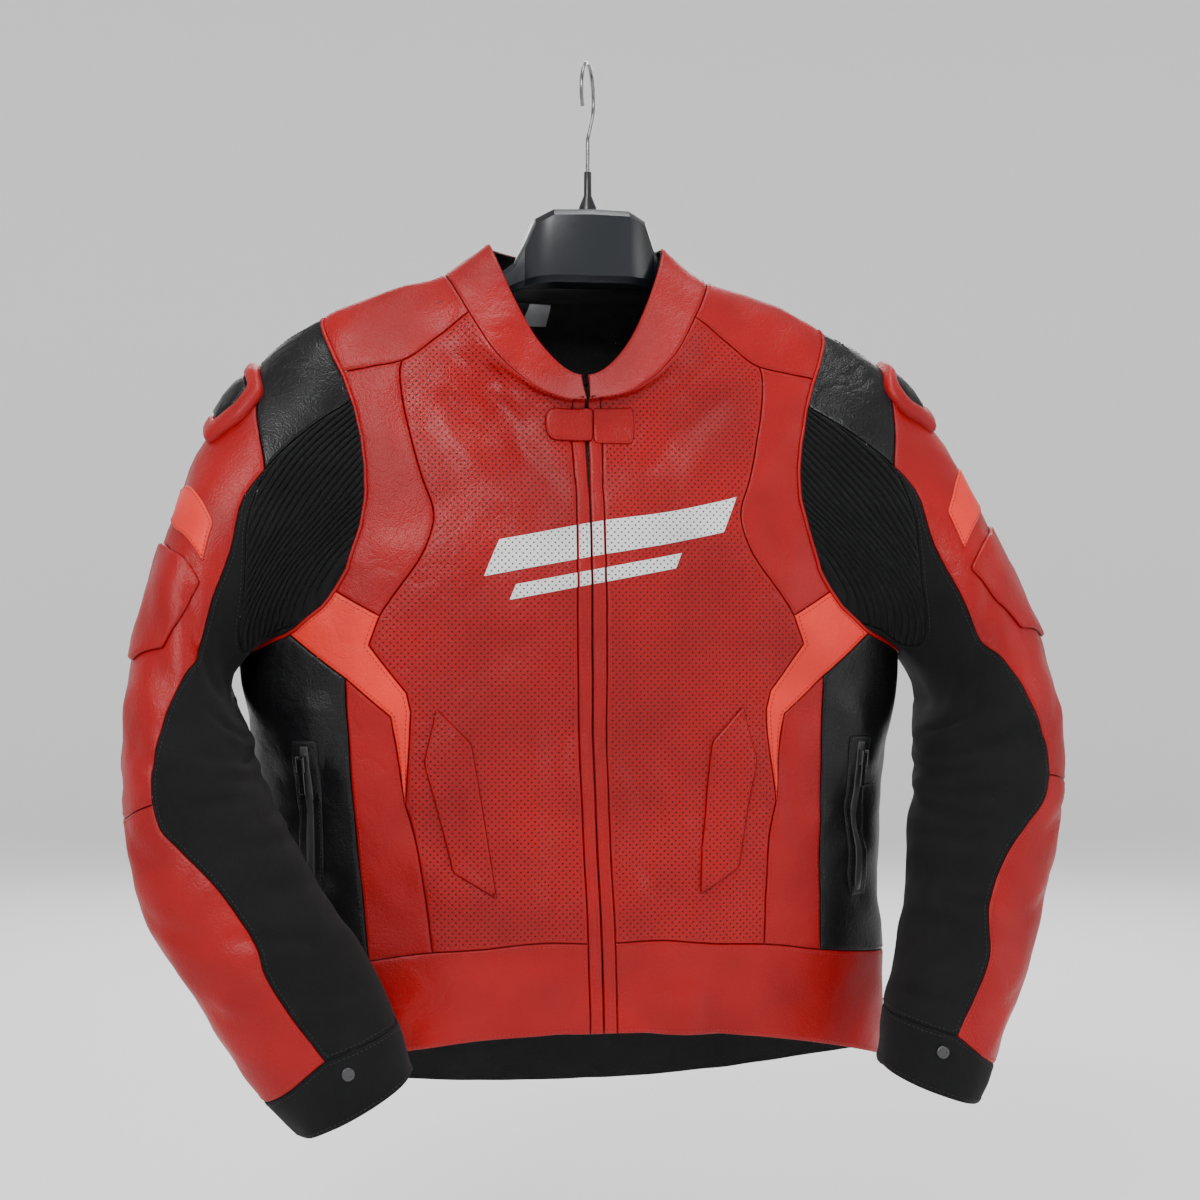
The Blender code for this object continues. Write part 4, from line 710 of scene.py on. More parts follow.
def sleeve_surface(side, cutter, torso):
    """One sleeve from its armhole to its cuff, closed round, with its folds."""
    sign = -1 if side == "right" else 1
    rows = np.array(SLEEVE_SECTIONS[side], float)
    middle = np.stack([(rows[:, 0] + rows[:, 2])/2, rows[:, 4], (rows[:, 1] + rows[:, 3])/2], 1)
    knots = running_length(middle)
    at = np.linspace(0, knots[-1], ALONG_SLEEVE*FINE + 1)
    angle = np.arange(AROUND_SLEEVE*FINE)*360/(AROUND_SLEEVE*FINE)
    across, front = np.cos(np.radians(angle)), np.sin(np.radians(angle))
    power = 2/SLEEVE_SQUARENESS
    across = np.sign(across)*np.abs(across)**power
    front = np.sign(front)*np.abs(front)**power
    forward = np.array([0, -1.0, -0.12])
    start = armhole_point(angle, sign, cutter, torso)
    sooner = 1 - 0.6*np.clip(-np.cos(np.radians(angle)), 0, 1)
    points = []
    for place, row in zip(at, smooth(knots, rows, at)):
        centre = np.array([(row[0] + row[2])/2, row[4], (row[1] + row[3])/2])
        half = np.array([row[0] - row[2], 0, row[1] - row[3]])/2
        ring = centre + np.outer(across, half) + np.outer(row[5]*front, forward)
        share = (math.sin(math.pi/2*min(1, place/knots[4]))**sooner)[:, None]
        points.append((1 - share)*start + share*ring)
    points = clear_of_body(np.array(points), cutter.half)
    normals = grid_normals(points)*sign
    per_cent = at/knots[-1]*100
    height = sleeve_folds(side, angle, per_cent, SLEEVE_FOLDS)
    height += CREASE_DEPTH*sleeve_folds(side, angle, per_cent, SLEEVE_CREASES)
    height += unevenness(points, SLEEVE_SLACK)
    height *= ease(per_cent/3)[:, None]
    return Surface(points + normals*height[..., None], handed=sign)


def sleeve_folds(side, angle, per_cent, table):
    """Height of the folds of a table at each point of a sleeve."""
    turn, down = np.meshgrid(angle, per_cent)
    height = np.zeros(turn.shape)
    for sleeve, a0, p0, a1, p1, width, depth in table:
        if sleeve == side:
            for whole in (-360, 0):
                place, away = along_line(turn + whole, down*DEGREES_PER_CENT, a0, p0*DEGREES_PER_CENT,
                                         a1, p1*DEGREES_PER_CENT)
                taper = ease(np.minimum(place, 1 - place)*3 + 0.3)
                height += depth*np.exp(-(away/width)**2)*taper
    return height


def clear_of_body(points, half):
    """Push what would touch the body out to a small clearance, below the armhole."""
    sides = half[:, half.shape[1]//2, 2]
    x, y, z = points[..., 0], points[..., 1], points[..., 2]
    ring = half[np.clip(np.searchsorted(sides, z), 0, len(sides) - 1)]
    wanted = np.arctan2(-y, np.abs(x))
    given = np.arctan2(-ring[..., 1], ring[..., 0])
    nearest = np.argmin(np.abs(given - wanted[..., None]), axis=-1)
    body = np.take_along_axis(ring, nearest[..., None, None], axis=-2)[..., 0, :]
    radius = np.hypot(x, y)
    gap = radius - np.hypot(body[..., 0], body[..., 1])
    ramp = np.clip((-452 - z)/25, 0, 1)
    push = np.clip(BODY_CLEARANCE*ramp - gap, 0, None)*ramp
    moved = points.copy()
    moved[..., 0] += push*x/radius
    moved[..., 1] += push*y/radius
    return moved


def collar_surface(torso):
    """Standing collar from the neck seam to its upper edge."""
    width, front, back, side, front_rise, back_rise = COLLAR_TOP
    left = evenly(half_ring(width, front, back, side, front_rise, back_rise, 2.0), AROUND_TORSO//2*FINE + 1)
    top = np.concatenate([left, left[-2:0:-1]*np.array([-1, 1, 1])])
    columns = np.arange(AROUND_TORSO*FINE)/FINE
    bottom, _ = torso.at(columns, np.full(len(columns), float(UP_TORSO)))
    share = np.linspace(0, 1, UP_COLLAR*FINE + 1)[:, None, None]
    points = bottom*(1 - share) + top*share
    points += grid_normals(points)*slack(points, *COLLAR_SLACK)[..., None]*ease(share*3)
    surface = Surface(points)
    shared = unit(torso.normals[-1] + surface.normals[0])
    torso.normals[-1] = shared
    surface.normals[0] = shared
    return surface


class Form:
    """The shapes that every piece of the jacket is laid on, worked out once."""
    made = None

    def __init__(self):
        self.half = torso_half()
        self.cutter = Cutter(self.half)
        self.torso = torso_surface(self.half)
        self.collar = collar_surface(self.torso)
        self.sleeves = {side: sleeve_surface(side, self.cutter, self.torso) for side in ("left", "right")}
        self.seams = []

    @classmethod
    def get(cls):
        """The shapes, worked out at the first call."""
        if cls.made is None:
            cls.made = cls()
        return cls.made


def mirror_places(outline):
    """The same outline on the wearer's right half."""
    return np.stack([AROUND_TORSO - outline[:, 0], outline[:, 1]], 1)[::-1]


def rectangle(a0, a1, b0, b1):
    """Closed outline of a rectangle on the lattice, with points along its sides."""
    corners = np.array([(a0, b0), (a1, b0), (a1, b1), (a0, b1), (a0, b0)], float)
    return curve_through(corners, "line")[:-1]


def rounded(corners, surface, cut=3.0):
    """A patch's outline with its corners cut round and points along its sides, in mm."""
    points, _ = surface.at(*corners.T)
    result = []
    for i in range(len(corners)):
        before, here, after = corners[i - 1], corners[i], corners[(i + 1) % len(corners)]
        near = cut/np.linalg.norm(points[i] - points[i - 1])
        far = cut/np.linalg.norm(points[(i + 1) % len(corners)] - points[i])
        start, end = here + (before - here)*min(near, 0.4), here + (after - here)*min(far, 0.4)
        for share in (0, 0.33, 0.67, 1):
            result.append((1 - share)**2*start + 2*share*(1 - share)*here + share**2*end)
    closed = np.array(result + result[:1])
    length = running_length(surface.at(*closed.T)[0])
    line = [closed[0]]
    for i in range(len(closed) - 1):
        count = max(1, round((length[i + 1] - length[i])/5))
        line.extend(closed[i] + (closed[i + 1] - closed[i])*share for share in np.linspace(0, 1, count + 1)[1:])
    return np.array(line[:-1])


def inset_loop(surface, places, distance):
    """A closed outline moved into its panel by a distance in mm on the surface."""
    points, normals = surface.at(*places.T)
    run = np.roll(points, -1, 0) - points
    side = unit(np.cross(normals*surface.handed, run))
    before = np.roll(side, 1, 0)
    mitre = (side + before)/np.maximum(1 + (side*before).sum(1), 0.3)[:, None]
    distance = np.minimum(distance, room_inside(points))[:, None]
    step = 0.01
    along_a = (surface.at(places[:, 0] + step, places[:, 1])[0] - points)/step
    down = np.where(places[:, 1] > surface.points.shape[0]/FINE - 0.5, -step, step)
    along_b = (surface.at(places[:, 0], places[:, 1] + down)[0] - points)/down[:, None]
    aa, bb, ab = (along_a**2).sum(1), (along_b**2).sum(1), (along_a*along_b).sum(1)
    ma, mb = (along_a*mitre).sum(1), (along_b*mitre).sum(1)
    whole = aa*bb - ab*ab
    move = np.stack([(ma*bb - mb*ab)/whole, (mb*aa - ma*ab)/whole], 1)
    return places + move*distance


def room_inside(points):
    """How far each point of an outline may move in before it meets the far side of a narrow tip."""
    length = running_length(np.concatenate([points, points[:1]]))
    apart = np.abs(length[:-1, None] - length[None, :-1])
    apart = np.minimum(apart, length[-1] - apart)
    straight = np.linalg.norm(points[:, None] - points[None], axis=2)
    facing = np.where(apart > TIP_SHARPNESS*straight, straight, np.inf)
    width = facing.min(1)
    nearest = np.minimum(width, np.minimum(np.roll(width, 1), np.roll(width, -1)))
    return TIP_SHARE*nearest


def anticlockwise(places):
    """The outline in the order that keeps its inside on the left."""
    after = np.roll(places, -1, 0)
    area = (places[:, 0]*after[:, 1] - after[:, 0]*places[:, 1]).sum()
    return places if area > 0 else places[::-1]


def loop_edges(flat, places):
    """A closed loop of edges through lattice places."""
    verts = [flat.verts.new((a, b, 0)) for a, b in places]
    return verts, [flat.edges.new((verts[i], verts[(i + 1) % len(verts)])) for i in range(len(verts))]


def cut_plan(flat, axis, spacing):
    """Cut a plan at even steps along one axis of the lattice."""
    values = [vert.co[axis] for vert in flat.verts]
    across = Vector([float(i == axis) for i in range(3)])
    for step in range(math.ceil(min(values)/spacing), math.floor(max(values)/spacing) + 1):
        bmesh.ops.bisect_plane(flat, geom=flat.verts[:] + flat.edges[:] + flat.faces[:], dist=0.004*spacing,
                               plane_co=across*step*spacing, plane_no=across)


def bordered_plan(surface, outline, insets):
    """Flat plan of a panel with rows along its border, not yet cut, and its ordered outline."""
    flat = bmesh.new()
    border = flat.verts.layers.float.new("border")
    outline = anticlockwise(outline)
    rings = []
    for inset, drop in zip(insets, BORDER_DROP):
        verts, edges = loop_edges(flat, inset_loop(surface, outline, inset))
        for vert in verts:
            vert[border] = drop
        rings.append(edges)
    for outer, inner in zip(rings, rings[1:]):
        bmesh.ops.bridge_loops(flat, edges=outer + inner)
    bmesh.ops.contextual_create(flat, geom=rings[-1])
    return flat, outline


def panel_plan(surface, outline, insets=BORDER_INSETS):
    """Flat plan of a panel, cut in even cells, and the loop that it is sewn along."""
    flat, outline = bordered_plan(surface, outline, insets)
    for axis in (0, 1):
        cut_plan(flat, axis, 1/CUTS)
    return flat, inset_loop(surface, outline, insets[-1])


def cut_size(flat_places, area):
    """Width and length of the smallest rectangle that the flat piece is cut from."""
    best = None
    for turn in np.radians(np.arange(0, 90, 3)):
        across = flat_places @ (math.cos(turn), math.sin(turn))
        along = flat_places @ (-math.sin(turn), math.cos(turn))
        size = (float(np.ptp(across)), float(np.ptp(along)))
        if best is None or size[0]*size[1] < best[0]*best[1]:
            best = size
    grow = max(1.0, math.sqrt(area/(best[0]*best[1])))
    return best[0]*grow, best[1]*grow


def shell(name, surface, flat, look, high=0.0, thick=LEATHER, lift=None, roll=1.0, inner="lining"):
    """Map a flat plan onto its surface and give it thickness and a finish on both sides."""
    border = flat.verts.layers.float["border"]
    places = np.array([vert.co[:2] for vert in flat.verts])
    near = np.array([vert[border] for vert in flat.verts])
    points, normals = surface.at(places[:, 0], places[:, 1])
    height = high - roll*near
    if lift is not None:
        height = height + lift(places)*(1 - np.clip(near*1.6, 0, 1))
    points = hung(points + normals*height[:, None])
    flat_places = surface.flat_place(places[:, 0], places[:, 1])
    lengths = flat.loops.layers.uv.new("lengths")
    flat.verts.index_update()
    flat.normal_update()
    turned = [face for face in flat.faces if (face.normal.z < 0) == (surface.handed > 0)]
    bmesh.ops.reverse_faces(flat, faces=turned)
    for face in flat.faces:
        for loop in face.loops:
            loop[lengths].uv = flat_places[loop.vert.index]
    for vert, point in zip(flat.verts, points):
        vert.co = point
    many = [face for face in flat.faces if len(face.verts) > 4]
    bmesh.ops.triangulate(flat, faces=many)
    flat.normal_update()
    area = sum(face.calc_area() for face in flat.faces)
    made = finish(name, flat, look, inner)
    wall = made.modifiers.new("leather", "SOLIDIFY")
    wall.thickness = thick*MM
    wall.offset = -1
    wall.material_offset = 1
    made["flat_area"] = area
    made["flat_size"] = cut_size(flat_places, area)
    return made


def hung(points):
    """Points of the jacket in metres, where it hangs on the hook."""
    return (points + (JACKET_X, 0, 0))*MM


def placed(name, data):
    """A new object in the scene that holds the data."""
    made = bpy.data.objects.new(name, data)
    bpy.context.collection.objects.link(made)
    return made


def finish(name, mesh_bm, *looks):
    """Turn a mesh in metres into a named object with its finishes, smooth but for sharp edges."""
    mesh = bpy.data.meshes.new(name)
    mesh_bm.to_mesh(mesh)
    mesh_bm.free()
    mesh.shade_smooth()
    mesh.set_sharp_from_angle(angle=math.radians(50))
    for look in looks:
        mesh.materials.append(finishes()[look])
    return placed(name, mesh)


def settle(made, look, *nodes, body="jacket", cloth=False):
    """Fasten a piece to its body, and let it stand for its CAD nodes."""
    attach(made, body)
    if nodes:
        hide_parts(*nodes)
    return made


def sewn_panel(node, surface, outline, look, thread="red thread", **options):
    """A panel of the jacket that stands for its CAD node, with the line it is sewn along."""
    flat, line = panel_plan(surface, outline)
    made = shell(f"{node}_cloth", surface, flat, look, **options)
    settle(made, look, node, cloth=True)
    Form.get().seams.append((node, surface, line, options.get("high", 0.0), thread))
    return made


def thread_for(look):
    """Thread in the colour of the leather."""
    return "black thread" if look.startswith("black") else "red thread"


def body_panels(form):
    """Every panel that has a left and a right, then the back panel and its hem band."""
    for name, runs in PANELS.items():
        outline = form.cutter.outline(runs)
        look = BODY_LOOKS[name]
        sewn_panel(f"{name}_left", form.torso, outline, look, thread_for(look))
        sewn_panel(f"{name}_right", form.torso, mirror_places(outline), look, thread_for(look))
    back = form.cutter.outline((("back yoke", "neck back", "back yoke armhole"),
                                ("armhole", "back yoke armhole", "back side armhole"),
                                ("back side", "back side armhole", "band back")))
    band, marks = form.cutter.seams["band"]
    whole_back = np.concatenate([back, band[marks["band back"]:-1]])
    sewn_panel("back_panel", form.torso, close_back(whole_back), "red leather")
    hem = form.cutter.lay("line", ("hem middle", "band middle"))[0][:-1]
    sewn_panel("hem_band_back", form.torso, close_back(np.concatenate([hem, band[marks["band middle"]:-1]])),
               "red leather")


def close_back(left):
    """Outline across the centre back from its left half, with points along both open edges."""
    right = mirror_places(left)
    top = curve_through(np.array([right[-1], left[0]]), "line")[1:-1]
    return np.concatenate([left, curve_through(np.array([left[-1], right[0]]), "line")[1:-1], right, top])


def sleeve_lattice(angle, per_cent):
    """Lattice place of an angle and a share of the sleeve's length."""
    return np.array([angle*AROUND_SLEEVE/360, per_cent*ALONG_SLEEVE/100], float)


def sleeve_outline(runs):
    """Closed outline of a sleeve panel on the lattice."""
    places = []
    for name, first, last in runs:
        if name == "armhole":
            turn = 360 if first < 0 else 0
            angles = armhole_angles(first + turn, last + turn) - turn
            run = np.stack([angles*AROUND_SLEEVE/360, np.zeros(len(angles))], 1)
        else:
            kind = "line" if name == "cuff edge" else "curve"
            run = curve_through(np.array([sleeve_lattice(*stop) for stop in SLEEVE_SEAMS[name]]), kind)
            if first < 0:
                run = run[::-1]
            run = run + sleeve_lattice(last, 0)
        places.extend(run[:-1])
    return np.array(places)


def across_ribs(places):
    """Distance across the ribs at each lattice place of the ribbed panel."""
    table = np.array(RIB_RISE, float)
    columns = np.arange(0, RIB_COLUMNS)*360/AROUND_SLEEVE
    at_columns = np.interp(columns, table[:, 0], table[:, 1])
    angles = places[:, 0]*360/AROUND_SLEEVE
    return smooth(columns, at_columns[:, None], angles)[:, 0] - RIB_FALL*places[:, 1]*100/ALONG_SLEEVE


def rib_lift(places):
    """Rounded ribs with sharp valleys between them."""
    phase = np.mod(across_ribs(places)/RIB_PITCH, 1)
    return RIB_HEIGHT*np.sin(math.pi*phase)**RIB_SHARPNESS


def ribbed_plan(surface, outline):
    """Plan of the ribbed panel, cut along the ribs six times to each rib."""
    flat, _ = bordered_plan(surface, outline, BORDER_INSETS)
    cut_plan(flat, 0, 1/CUTS)
    for vert in flat.verts:
        vert.co.z = vert.co.y
        vert.co.y = across_ribs(np.array([vert.co[:2]]))[0]
    cut_plan(flat, 1, RIB_PITCH/CUTS)
    for vert in flat.verts:
        vert.co.y = vert.co.z
        vert.co.z = 0
    return flat


def sleeve_panels(form, side):
    """The six panels of one sleeve."""
    surface = form.sleeves[side]
    for name, runs in SLEEVE_PANELS.items():
        outline = sleeve_outline(runs)
        look = SLEEVE_LOOKS[name]
        node = f"{name}_{side}"
        if name == "rib_panel":
            flat = ribbed_plan(surface, outline)
            settle(shell(f"{node}_cloth", surface, flat, look, lift=rib_lift), look, node, cloth=True)
        else:
            sewn_panel(node, surface, outline, look, thread_for(look))


def patch(node, surface, outline, look, high, thick=None, lift=None, thread="red thread", roll=1.0):
    """A patch laid on a panel, its border rolled down to the leather under it."""
    flat, line = panel_plan(surface, outline, insets=PATCH_INSETS)
    made = shell(f"{node}_cloth", surface, flat, look, high=high, thick=thick or high + 0.6, lift=lift,
                 roll=roll*high, inner=look)
    settle(made, look, node, cloth=thick is None and high < 3)
    Form.get().seams.append((node, surface, line, high, thread))
    return made


def dome(middle, reach, height):
    """Height of a low dome round a lattice place."""
    def lift(places):
        away = np.linalg.norm((places - middle)/reach, axis=1)
        return height*np.clip(1 - away**2, 0, 1)
    return lift


def sleeve_trim(form, side):
    """Flash, elbow patch and shoulder cap of one sleeve."""
    surface = form.sleeves[side]

    def corners(rows):
        return rounded(np.array([sleeve_lattice(*row) for row in rows]), surface)
    patch(f"arm_flash_{side}", surface, corners(ARM_FLASH), "coral leather", 1.2)
    middle = sleeve_lattice(10, 30)
    patch(f"elbow_patch_{side}", surface, corners(ELBOW_PATCH), "red leather", 2.4,
          lift=dome(middle, sleeve_lattice(90, 12), 1.2))
    cap_frame(side, surface)
    patch(f"cap_plate_{side}", surface, corners(CAP_INNER), "black leather", 3.2, thick=3.6,
          lift=dome(sleeve_lattice(0, 13.3), sleeve_lattice(26, 2.6), 4.0), thread="black thread", roll=0.8)


# Section of the shoulder cap's ring: share from the outer edge to the inner, height in mm.
CAP_SECTION = ((0, -0.5), (0, 3.0), (0.08, 5.4), (0.24, 6.8), (0.5, 7.2), (0.76, 6.8), (0.92, 5.2),
               (1, 3.0), (1, -0.5))


def cap_frame(side, surface):
    """Raised ring of the shoulder cap, a rounded section carried round its two outlines."""
    made = bmesh.new()
    made.verts.layers.float.new("border")
    lattice = [np.array([sleeve_lattice(*row) for row in rows]) for rows in (CAP_OUTER, CAP_INNER)]
    outer = evenly_round(rounded(lattice[0], surface, 8), 72)
    inner = evenly_round(rounded(lattice[1], surface, 5), 72)
    rings = []
    for share, height in CAP_SECTION:
        places = outer*(1 - share) + inner*share
        points, normals = surface.at(*places.T)
        points = hung(points + normals*height)
        verts = [made.verts.new(point) for point in points]
        rings.append([made.edges.new((verts[i], verts[(i + 1) % len(verts)])) for i in range(len(verts))])
    for before, after in zip(rings, rings[1:] + rings[:1]):
        bmesh.ops.bridge_loops(made, edges=before + after)
    bmesh.ops.recalc_face_normals(made, faces=made.faces)
    ring = finish(f"cap_frame_{side}_cloth", made, "red leather")
    settle(ring, "red leather", f"cap_frame_{side}")


def evenly_round(places, count):
    """A closed outline with a given number of points, starting where it did."""
    closed = np.concatenate([places, places[:1]])
    return evenly(closed, count + 1)[:-1]


def front_outline(form, corners, surface, cut=3.0):
    """Lattice outline of corners given in front view on the wearer's left or right."""
    places = []
    for x, z in corners:
        a, b = find(form.half, "F", abs(x), z)
        places.append((a if x >= 0 else -a, b))
    return rounded(np.array(places), surface, cut)


def front_patches(form):
    """Vent patches and the collar strap."""
    vent = front_outline(form, VENT, form.torso)
    for side, outline in (("left", vent), ("right", mirror_places(vent))):
        patch(f"vent_patch_{side}", form.torso, outline, "perforated leather", 2.6)
    patch("strap_base", form.torso, front_outline(form, STRAP_BASE, form.torso), "red leather", 1.5)
    patch("strap_tab", form.torso, front_outline(form, STRAP_TAB, form.torso), "red leather", 2.6,
          lift=dome(np.array(find(form.half, "F", 14, -292))*(-1, 1), (0.9, 0.5), 1.4))


def bar_stretch(corners, start, end):
    """Corners of the stretch of a slanted bar between two cuts, None for its own end."""
    (ax, az), (bx, bz), (cx, cz), (dx, dz) = corners

    def on_edge(x, x0, z0, x1, z1):
        return x, z0 + (z1 - z0)*(x - x0)/(x1 - x0)
    upper = (ax, az) if start is None else on_edge(start, ax, az, bx, bz)
    lower = (dx, dz) if start is None else on_edge(start, dx, dz, cx, cz)
    upper_end = (bx, bz) if end is None else on_edge(end, ax, az, bx, bz)
    lower_end = (cx, cz) if end is None else on_edge(end, dx, dz, cx, cz)
    return lower, lower_end, upper_end, upper


def chest_bars(form):
    """Plain printed bars across the chest, parted at the seams of the front."""
    stretches = []
    for corners in CHEST_BARS:
        starts = [None] + [cut + BAR_GAP for cut in BAR_CUTS]
        ends = [cut - BAR_GAP for cut in BAR_CUTS] + [None]
        stretches += [bar_stretch(corners, start, end) for start, end in zip(starts, ends)]
    for i, corners in enumerate(stretches):
        outline = front_outline(form, corners, form.torso, cut=0.6)
        flat, _ = panel_plan(form.torso, outline, insets=BAR_INSETS)
        settle(shell(f"chest_bar_{i + 1}", form.torso, flat, "white print", high=BAR_HEIGHT,
                     thick=BAR_THICK, roll=0.1, inner="white print"), "white print")


def collar(form):
    """Standing collar with its lining."""
    slit = find(form.half, "F", HALF_SLIT, "neck")[0]
    outline = curve_through(np.array([(slit, 0), (AROUND_TORSO - slit, 0), (AROUND_TORSO - slit*3, UP_COLLAR),
                                      (slit*3, UP_COLLAR), (slit, 0)]), "line")[:-1]
    sewn_panel("collar", form.collar, outline, "red leather", thick=COLLAR_LEATHER)
    lining("collar_lining", form.collar, rectangle(1, AROUND_TORSO - 1, 0, UP_COLLAR))


def lining(node, surface, outline):
    """Thin lining just inside the leather."""
    flat, _ = panel_plan(surface, outline)
    made = shell(f"{node}_cloth", surface, flat, "lining", high=-LEATHER - LINING_GAP, thick=LINING,
                 roll=0.2)
    settle(made, "lining", node, cloth=True)


def linings(form):
    """Linings that show inside the back of the neck and of the hem, and the zip's tape."""
    quarter = AROUND_TORSO/4
    left = np.array([(quarter + 4, UP_TORSO - 3), (quarter + 1, UP_TORSO)])
    neck = curve_through(np.concatenate([left, mirror_places(left), left[:1]]), "line")[:-1]
    lining("neck_lining", form.torso, neck)
    neck_tape(form)
    label, _ = panel_plan(form.torso, rectangle(*NECK_LABEL), insets=(0, 0.2, 0.4))
    made = shell("neck_label", form.torso, label, "label cloth", high=-LABEL_DEPTH,
                 thick=LABEL_THICK, roll=0.1, inner="label cloth")
    settle(made, "label cloth", cloth=True)
    lining("hem_lining", form.torso, rectangle(quarter, 3*quarter, 0, 2))
    lining("front_zip_tape", form.torso, rectangle(-0.3, 0.3, 0, UP_TORSO - 1))


def neck_tape(form):
    """Cloth tape over the seam of the collar and the back, inside the neck."""
    around = np.arange(AROUND_TORSO/4 + TAPE_SHORT, 3*AROUND_TORSO/4 - 1.25, 0.5)
    rows = []
    for surface, row in TAPE_ROWS:
        source = form.torso if surface == "torso" else form.collar
        points, normals = source.at(around, np.full(len(around), row))
        rows.append(hung(points - normals*TAPE_DEPTH))
    mesh = bmesh.new()
    bmesh.ops.create_grid(mesh, x_segments=len(around) - 1, y_segments=len(rows) - 1, size=1)
    for vert in mesh.verts:
        column = round((vert.co.x + 1)/2*(len(around) - 1))
        row = round((vert.co.y + 1)/2*(len(rows) - 1))
        vert.co = rows[row][column]
    bmesh.ops.recalc_face_normals(mesh, faces=mesh.faces)
    rows = np.array(rows)
    length = np.linalg.norm(np.diff(rows, axis=1), axis=2).sum(1).max()
    width = np.linalg.norm(np.diff(rows, axis=0), axis=2).sum(0).max()
    area = sum(face.calc_area() for face in mesh.faces)
    made = finish("neck_tape", mesh, "lining")
    wall = made.modifiers.new("tape", "SOLIDIFY")
    wall.thickness = TAPE_THICK*MM
    wall.offset = 0
    made["flat_size"], made["flat_area"] = (length, width), area
    settle(made, "lining", cloth=True)


def spindle():
    """Points and faces of one stitch, one long each way from its middle."""
    made = bmesh.new()
    bmesh.ops.create_uvsphere(made, u_segments=5, v_segments=3, radius=1)
    points = np.array([vert.co[:] for vert in made.verts])
    faces = [[vert.index for vert in face.verts] for face in made.faces]
    made.free()
    return points, faces


def stitches(name, lines, look):
    """Every stitch along some seams, as one mesh of small spindles."""
    sizes = bpy.context.scene.jacket_sizes
    points, faces = spindle()
    every_point, every_face = [], []
    for surface, line, high in lines:
        closed = np.concatenate([line, line[:1]])
        length = running_length(surface.at(*closed.T)[0])
        count = max(3, int(length[-1]*MM/sizes.stitch))
        at = np.arange(count)*length[-1]/count
        places = np.stack([np.interp(at, length, closed[:, c]) for c in (0, 1)], 1)
        middles, normals = surface.at(*places.T)
        run = unit(np.roll(middles, -1, 0) - middles)
        side = unit(np.cross(normals, run))
        out = np.cross(run, side)
        middles = hung(middles + out*(high + STITCH_RISE))
        for middle, along, across, up in zip(middles, run, side, out):
            turn = np.array([across*0.5*sizes.thread, up*0.42*sizes.thread, along*0.36*sizes.stitch])
            start = len(points)*len(every_point)
            every_point.append(middle + points @ turn)
            every_face.extend([start + i for i in face] for face in faces)
    mesh = bpy.data.meshes.new(name)
    mesh.from_pydata(np.concatenate(every_point).tolist(), [], every_face)
    mesh.shade_smooth()
    mesh.materials.append(finishes()[look])
    settle(placed(name, mesh), look)


def piping(form, side):
    """Narrow red piping sewn into the armhole."""
    sign = 1 if side == "left" else -1
    angle = np.arange(0, 360, 4)
    places = form.cutter.armhole(angle)
    across = places[:, 0] if sign > 0 else AROUND_TORSO - places[:, 0]
    points, normals = form.torso.at(across, places[:, 1])
    curve = bpy.data.curves.new(f"piping_{side}", "CURVE")
    curve.dimensions = "3D"
    curve.bevel_depth = bpy.context.scene.jacket_sizes.piping/2
    curve.bevel_resolution = 3
    line = curve.splines.new("POLY")
    line.points.add(len(points) - 1)
    line.use_cyclic_u = True
    for knot, point in zip(line.points, hung(points + normals*PIPING_RISE)):
        knot.co = (*point, 1)
    curve.materials.append(finishes()["red leather"])
    settle(placed(f"piping_{side}", curve), "red leather")


def sewing(form):
    """All the topstitching, the body's and each sleeve's, and the piping of the armholes."""
    groups = {}
    for node, surface, line, high, thread in form.seams:
        part = "body" if surface is form.torso or surface is form.collar else node.rsplit("_", 1)[1]
        groups.setdefault((part, thread), []).append((surface, line, high))
    for (part, thread), lines in groups.items():
        stitches(f"{thread.replace(' ', '_')}_{part}", lines, thread)
    for side in ("left", "right"):
        piping(form, side)


class Board:
    """A node tree, with short calls that add nodes and join them."""

    def __init__(self, tree):
        self.tree = tree

    def add(self, kind, inputs=(), **settings):
        node = self.tree.nodes.new(kind)
        for key, value in settings.items():
            setattr(node, key, value)
        for key, value in dict(inputs).items():
            if isinstance(value, bpy.types.NodeSocket):
                self.tree.links.new(value, node.inputs[key])
            else:
                node.inputs[key].default_value = value
        return node.outputs

    def link(self, value, socket):
        self.tree.links.new(value, socket)

    def effect(self, name, inputs):
        """One of the jacket's own node groups, with its inputs joined or set."""
        return self.add("ShaderNodeGroup", inputs, node_tree=shared_group(name))

    def math(self, operation, first, second=0.0):
        return self.add("ShaderNodeMath", {0: first, 1: second}, operation=operation)[0]

    def mix(self, share, first, second):
        return self.add("ShaderNodeMix", {0: share, 6: first, 7: second}, data_type="RGBA")[2]

    def range(self, value, low, high, to_low=0.0, to_high=1.0):
        return self.add("ShaderNodeMapRange", {0: value, 1: low, 2: high, 3: to_low, 4: to_high})[0]


def group(name, inputs, outputs):
    """An empty node group with named sockets, and its board, input sockets and output node."""
    tree = bpy.data.node_groups.new(name, "ShaderNodeTree")
    for side, sockets in (("INPUT", inputs), ("OUTPUT", outputs)):
        for title, kind in sockets.items():
            tree.interface.new_socket(name=title, in_out=side, socket_type=f"NodeSocket{kind}")
    board = Board(tree)
    given = tree.nodes.new("NodeGroupInput").outputs
    result = tree.nodes.new("NodeGroupOutput").inputs
    return tree, board, given, result


